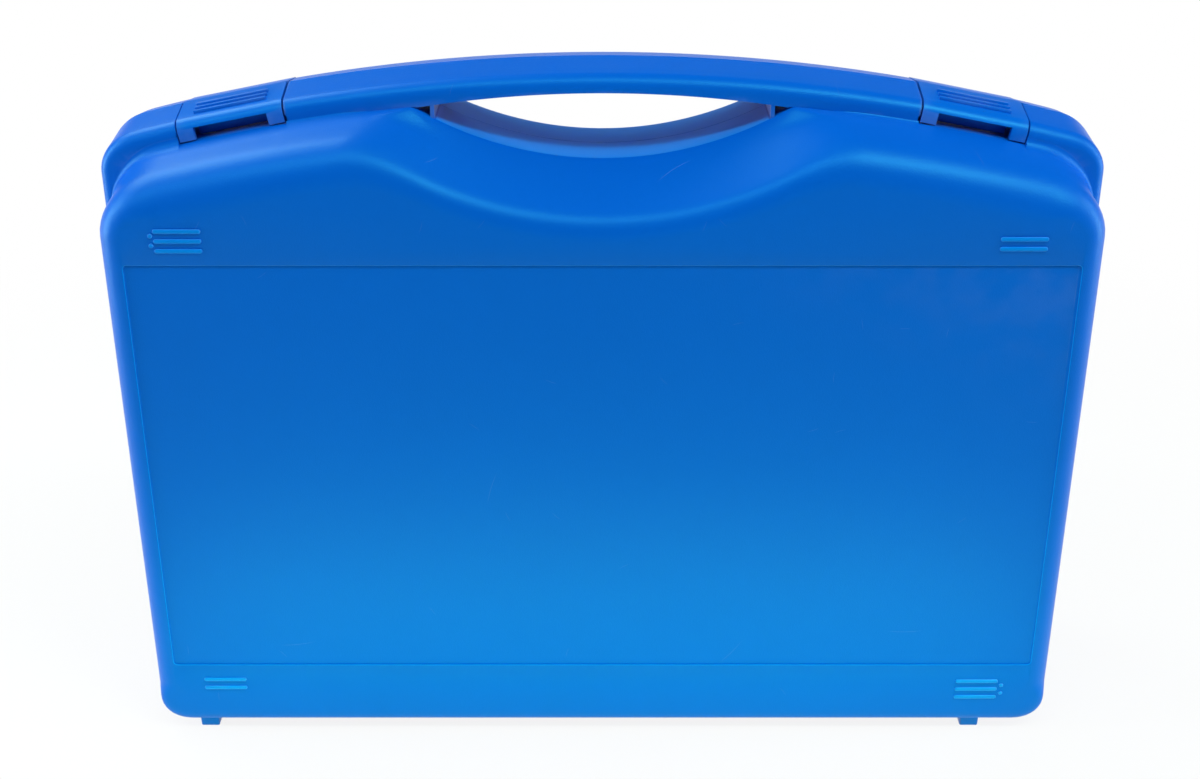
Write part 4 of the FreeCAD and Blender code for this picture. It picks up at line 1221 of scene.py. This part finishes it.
def all_materials(context):
    """Every finish of the set, by its slot; made once and then found again."""
    slots = sorted({"worn_plastic", *NODE_SLOTS.values()})
    if FINISH % slots[0] in bpy.data.materials:
        return {slot: bpy.data.materials[FINISH % slot] for slot in slots}
    finish = context.scene.tool_case_finish
    groups = {"grain": grain_group(), "marks": scratch_group(), "edge": edge_group()}
    made = {"pad_foam": foam(groups, finish.foam_grey)}
    for slot, (tint, worn, *surface) in PLASTICS.items():
        shine = finish.blue_shine if tint.endswith("_blue") else PLAIN_SHINE
        made[slot] = plastic(groups, getattr(finish, tint), shine, finish.wear * worn, *surface)
    for slot, (tint, *surface) in METALS.items():
        made[slot] = metal(groups, getattr(finish, tint), *surface)
    for slot, material in made.items():
        material.name = FINISH % slot
    return made


class CASE_OT_shells(bpy.types.Operator):
    """Build the front and rear shells."""

    bl_idname = "tool_case.shells"
    bl_label = "Shells"

    def execute(self, context):
        shape = context.scene.tool_case_shape
        finishes = all_materials(context)
        # The second finish is the lighter blue: painted light on the finger opening's floor, and wear with a
        # painted highlight on the panel's lip
        plain, worn = finishes["case_plastic"], finishes["worn_plastic"]
        for word, body, rear in (("front", "lid", False), ("rear", "base", True)):
            moulding = shell(shape, word + "_shell_skin", plain, worn, rear)
            seat(moulding, body, "case_plastic", word + "_shell")
            bars = corner_bars(shape, word + "_corner_bars", worn, rear)
            seat(bars, body, "case_plastic")
        return {"FINISHED"}


class CASE_OT_latches(bpy.types.Operator):
    """Build both latches."""

    bl_idname = "tool_case.latches"
    bl_label = "Latches"

    def execute(self, context):
        material = all_materials(context)["latch_plastic"]
        for word in SIDES:
            flap = latch_piece(context.scene.tool_case_shape, word, material)
            seat(flap, word + "_latch", "latch_plastic", word + "_latch")
        return {"FINISHED"}


class CASE_OT_foam(bpy.types.Operator):
    """Build the lid's foam pad."""

    bl_idname = "tool_case.foam"
    bl_label = "Lid foam"

    def execute(self, context):
        pad = foam_pad(all_materials(context)["pad_foam"])
        seat(pad, "lid", "pad_foam", "lid_pad")
        return {"FINISHED"}


class CASE_OT_tools(bpy.types.Operator):
    """Give the tray, the tools and the pins their finishes."""

    bl_idname = "tool_case.tools"
    bl_label = "Tray and tools"

    def execute(self, context):
        finishes = all_materials(context)
        for name, node in frame["nodes"].items():
            node.data.materials.clear()
            node.data.materials.append(finishes[NODE_SLOTS[name]])
        return {"FINISHED"}


CAMERA_PLACE = (mm(-1), mm(-668.6), mm(461.9))
CAMERA_PITCH = math.radians(25.2)
CAMERA_LENS = 50
CAMERA_SENSOR = 36
CAMERA_NEAR = mm(10)
FLOOR_HALF = 4.0
FLOOR_ROUGH = 0.9
FLOOR_SHADOW = 0.13
# Distances from the case at which the floor's shadow has faded and at which it is whole
FLOOR_REACH = (0.75, 0.30)
WORLD_FILL = 0.04
# Heights of a reflected ray between which the sky falls from white to SKY_HIGH
SKY_FALL = (-0.05, 0.25)
SKY_HIGH = (0.03, 0.07, 0.10, 1.0)
WHITE = (1.0, 1.0, 1.0, 1.0)
CLEAR = (0.90, 1.0, 0.92)
COOL = (0.85, 0.96, 1.0)
WARM = (1.0, 1.0, 0.36)
LOW_SPREAD = math.radians(110)
# Each lamp's name, place, target, width, height, power, colour and whether it shows in reflections
LIGHTS = (
    ("over", (0.0, -0.5, 1.15), (0.0, -0.03, 0.25), 1.4, 0.12, 6.3, CLEAR, True),
    ("over_right", (0.55, -0.5, 1.1), (0.12, -0.03, 0.22), 0.6, 0.15, 4.8, CLEAR, True),
    ("behind_left", (-0.6, 0.35, 1.0), (-0.1, 0.0, 0.2), 0.5, 0.5, 4.2, CLEAR, True),
    ("behind", (0.1, 1.2, 0.8), (0.0, 0.0, 0.2), 1.4, 0.3, 2.6, COOL, False),
    ("left", (-1.0, -0.1, 0.4), (0.0, -0.03, 0.15), 0.4, 0.9, 7.6, COOL, True),
    ("right", (1.0, -0.1, 0.4), (0.0, -0.03, 0.15), 0.4, 0.9, 5.2, COOL, True),
    ("low_front", (0.0, -0.18, 0.002), (0.0, -0.05, 0.04), 0.44, 0.05, 0.29, WARM, False),
)


class CASE_OT_stage(bpy.types.Operator):
    """Set up the floor, the light and the camera."""

    bl_idname = "tool_case.stage"
    bl_label = "Stage"

    def execute(self, context):
        scene = context.scene
        scene.view_settings.view_transform = "Standard"
        self.floor(context)
        self.world(scene)
        for light in LIGHTS:
            self.lamp(scene, *light)
        camera = bpy.data.cameras.new("photo_camera")
        camera.lens = CAMERA_LENS
        camera.sensor_width = CAMERA_SENSOR
        camera.sensor_fit = "HORIZONTAL"
        camera.clip_start = CAMERA_NEAR
        view = bpy.data.objects.new("photo_camera", camera)
        view.location = CAMERA_PLACE
        view.rotation_euler = (math.pi / 2 - CAMERA_PITCH, 0, 0)
        scene.collection.objects.link(view)
        scene.camera = view
        return {"FINISHED"}

    def seen_plainly(self, nodes):
        """Whether a ray shows the background: to the camera, in a mirror or through glass."""
        path = nodes.add("ShaderNodeLightPath").outputs
        mirrored = nodes.math("MAXIMUM", path["Is Glossy Ray"], path["Is Transmission Ray"])
        return nodes.math("MAXIMUM", path["Is Camera Ray"], mirrored)

    def floor(self, context):
        """A pale floor that keeps a soft shadow near the case and lets the white backdrop show."""
        skin = Skin()
        corners = ((-1, -1), (1, -1), (1, 1), (-1, 1))
        skin.faces.append(tuple(skin.add((FLOOR_HALF * x, FLOOR_HALF * y, 0) for x, y in corners)))
        material, nodes, shader = new_material("floor_white")
        white = rgba(context.scene.tool_case_finish.floor_white)
        nodes.feed(shader, {"Base Color": white, "Roughness": FLOOR_ROUGH, "Specular IOR Level": 0.0})
        clear = nodes.add("ShaderNodeBsdfTransparent").outputs["BSDF"]
        away = nodes.add("ShaderNodeVectorMath", {0: nodes.place()}, operation="LENGTH").outputs["Value"]
        kept = nodes.math("MULTIPLY", nodes.ramp(away, *FLOOR_REACH), FLOOR_SHADOW)
        seen = nodes.math("MULTIPLY", self.seen_plainly(nodes), nodes.math("SUBTRACT", 1.0, kept))
        lit = nodes.add("ShaderNodeLightPath").outputs["Is Shadow Ray"]
        through = nodes.math("MAXIMUM", seen, lit)
        both = nodes.add("ShaderNodeMixShader", {0: through, 1: shader.outputs["BSDF"], 2: clear})
        output = next(n for n in nodes.tree.nodes if n.type == "OUTPUT_MATERIAL")
        nodes.feed(output, {"Surface": both.outputs["Shader"]})
        skin.make("floor", material)

    def world(self, scene):
        """A white backdrop, dark above the horizon in reflections, and a soft fill for the object."""
        world = bpy.data.worlds.new("studio")
        world.use_nodes = True
        world.node_tree.nodes.clear()
        nodes = Nodes(world.node_tree)
        fill = nodes.add("ShaderNodeBackground", {"Color": WHITE, "Strength": WORLD_FILL})
        way = nodes.add("ShaderNodeTexCoord").outputs["Generated"]
        up = nodes.add("ShaderNodeSeparateXYZ", {"Vector": way}).outputs["Z"]
        sky = nodes.mix(nodes.ramp(up, *SKY_FALL), WHITE, SKY_HIGH)
        sky = nodes.mix(nodes.add("ShaderNodeLightPath").outputs["Is Camera Ray"], sky, WHITE)
        white = nodes.add("ShaderNodeBackground", {"Color": sky, "Strength": 1.0})
        seen = self.seen_plainly(nodes)
        both = nodes.add("ShaderNodeMixShader", {0: seen, 1: fill.outputs[0], 2: white.outputs[0]})
        nodes.add("ShaderNodeOutputWorld", {"Surface": both.outputs["Shader"]})
        scene.world = world

    def lamp(self, scene, name, place, target, width, height, power, tint, mirrored):
        """A soft rectangular lamp that looks at a point; one out of reflections has a narrower beam."""
        light = bpy.data.lights.new(name, "AREA")
        light.shape = "RECTANGLE"
        light.size = width
        light.size_y = height
        light.energy = power
        light.color = tint
        light.spread = math.pi if mirrored else LOW_SPREAD
        lamp = bpy.data.objects.new(name, light)
        lamp.location = place
        lamp.rotation_euler = (Vector(target) - Vector(place)).to_track_quat("-Z", "Y").to_euler()
        lamp.visible_camera = False
        lamp.visible_glossy = mirrored
        scene.collection.objects.link(lamp)


OPERATORS = (CASE_OT_shells, CASE_OT_latches, CASE_OT_foam, CASE_OT_tools, CASE_OT_stage)


class CASE_PT_panel(bpy.types.Panel):
    """The case's steps in the sidebar."""

    bl_idname = "CASE_PT_panel"
    bl_label = "Tool Case"
    bl_space_type = "VIEW_3D"
    bl_region_type = "UI"
    bl_category = "Tool Case"

    def draw(self, context):
        for operator in OPERATORS:
            self.layout.operator(operator.bl_idname)


CLASSES = (CaseShape, CaseFinish, *OPERATORS, CASE_PT_panel)


def register():
    """Register the classes and their settings."""
    for kind in CLASSES:
        bpy.utils.register_class(kind)
    bpy.types.Scene.tool_case_shape = bpy.props.PointerProperty(type=CaseShape)
    bpy.types.Scene.tool_case_finish = bpy.props.PointerProperty(type=CaseFinish)


def unregister():
    """Take the classes and their settings away again."""
    del bpy.types.Scene.tool_case_shape
    del bpy.types.Scene.tool_case_finish
    for kind in reversed(CLASSES):
        bpy.utils.unregister_class(kind)


def main():
    """Build everything in order."""
    register()
    bpy.ops.tool_case.tools()
    bpy.ops.tool_case.shells()
    bpy.ops.tool_case.latches()
    bpy.ops.tool_case.foam()
    bpy.ops.tool_case.stage()


if __name__ == "__main__":
    main()
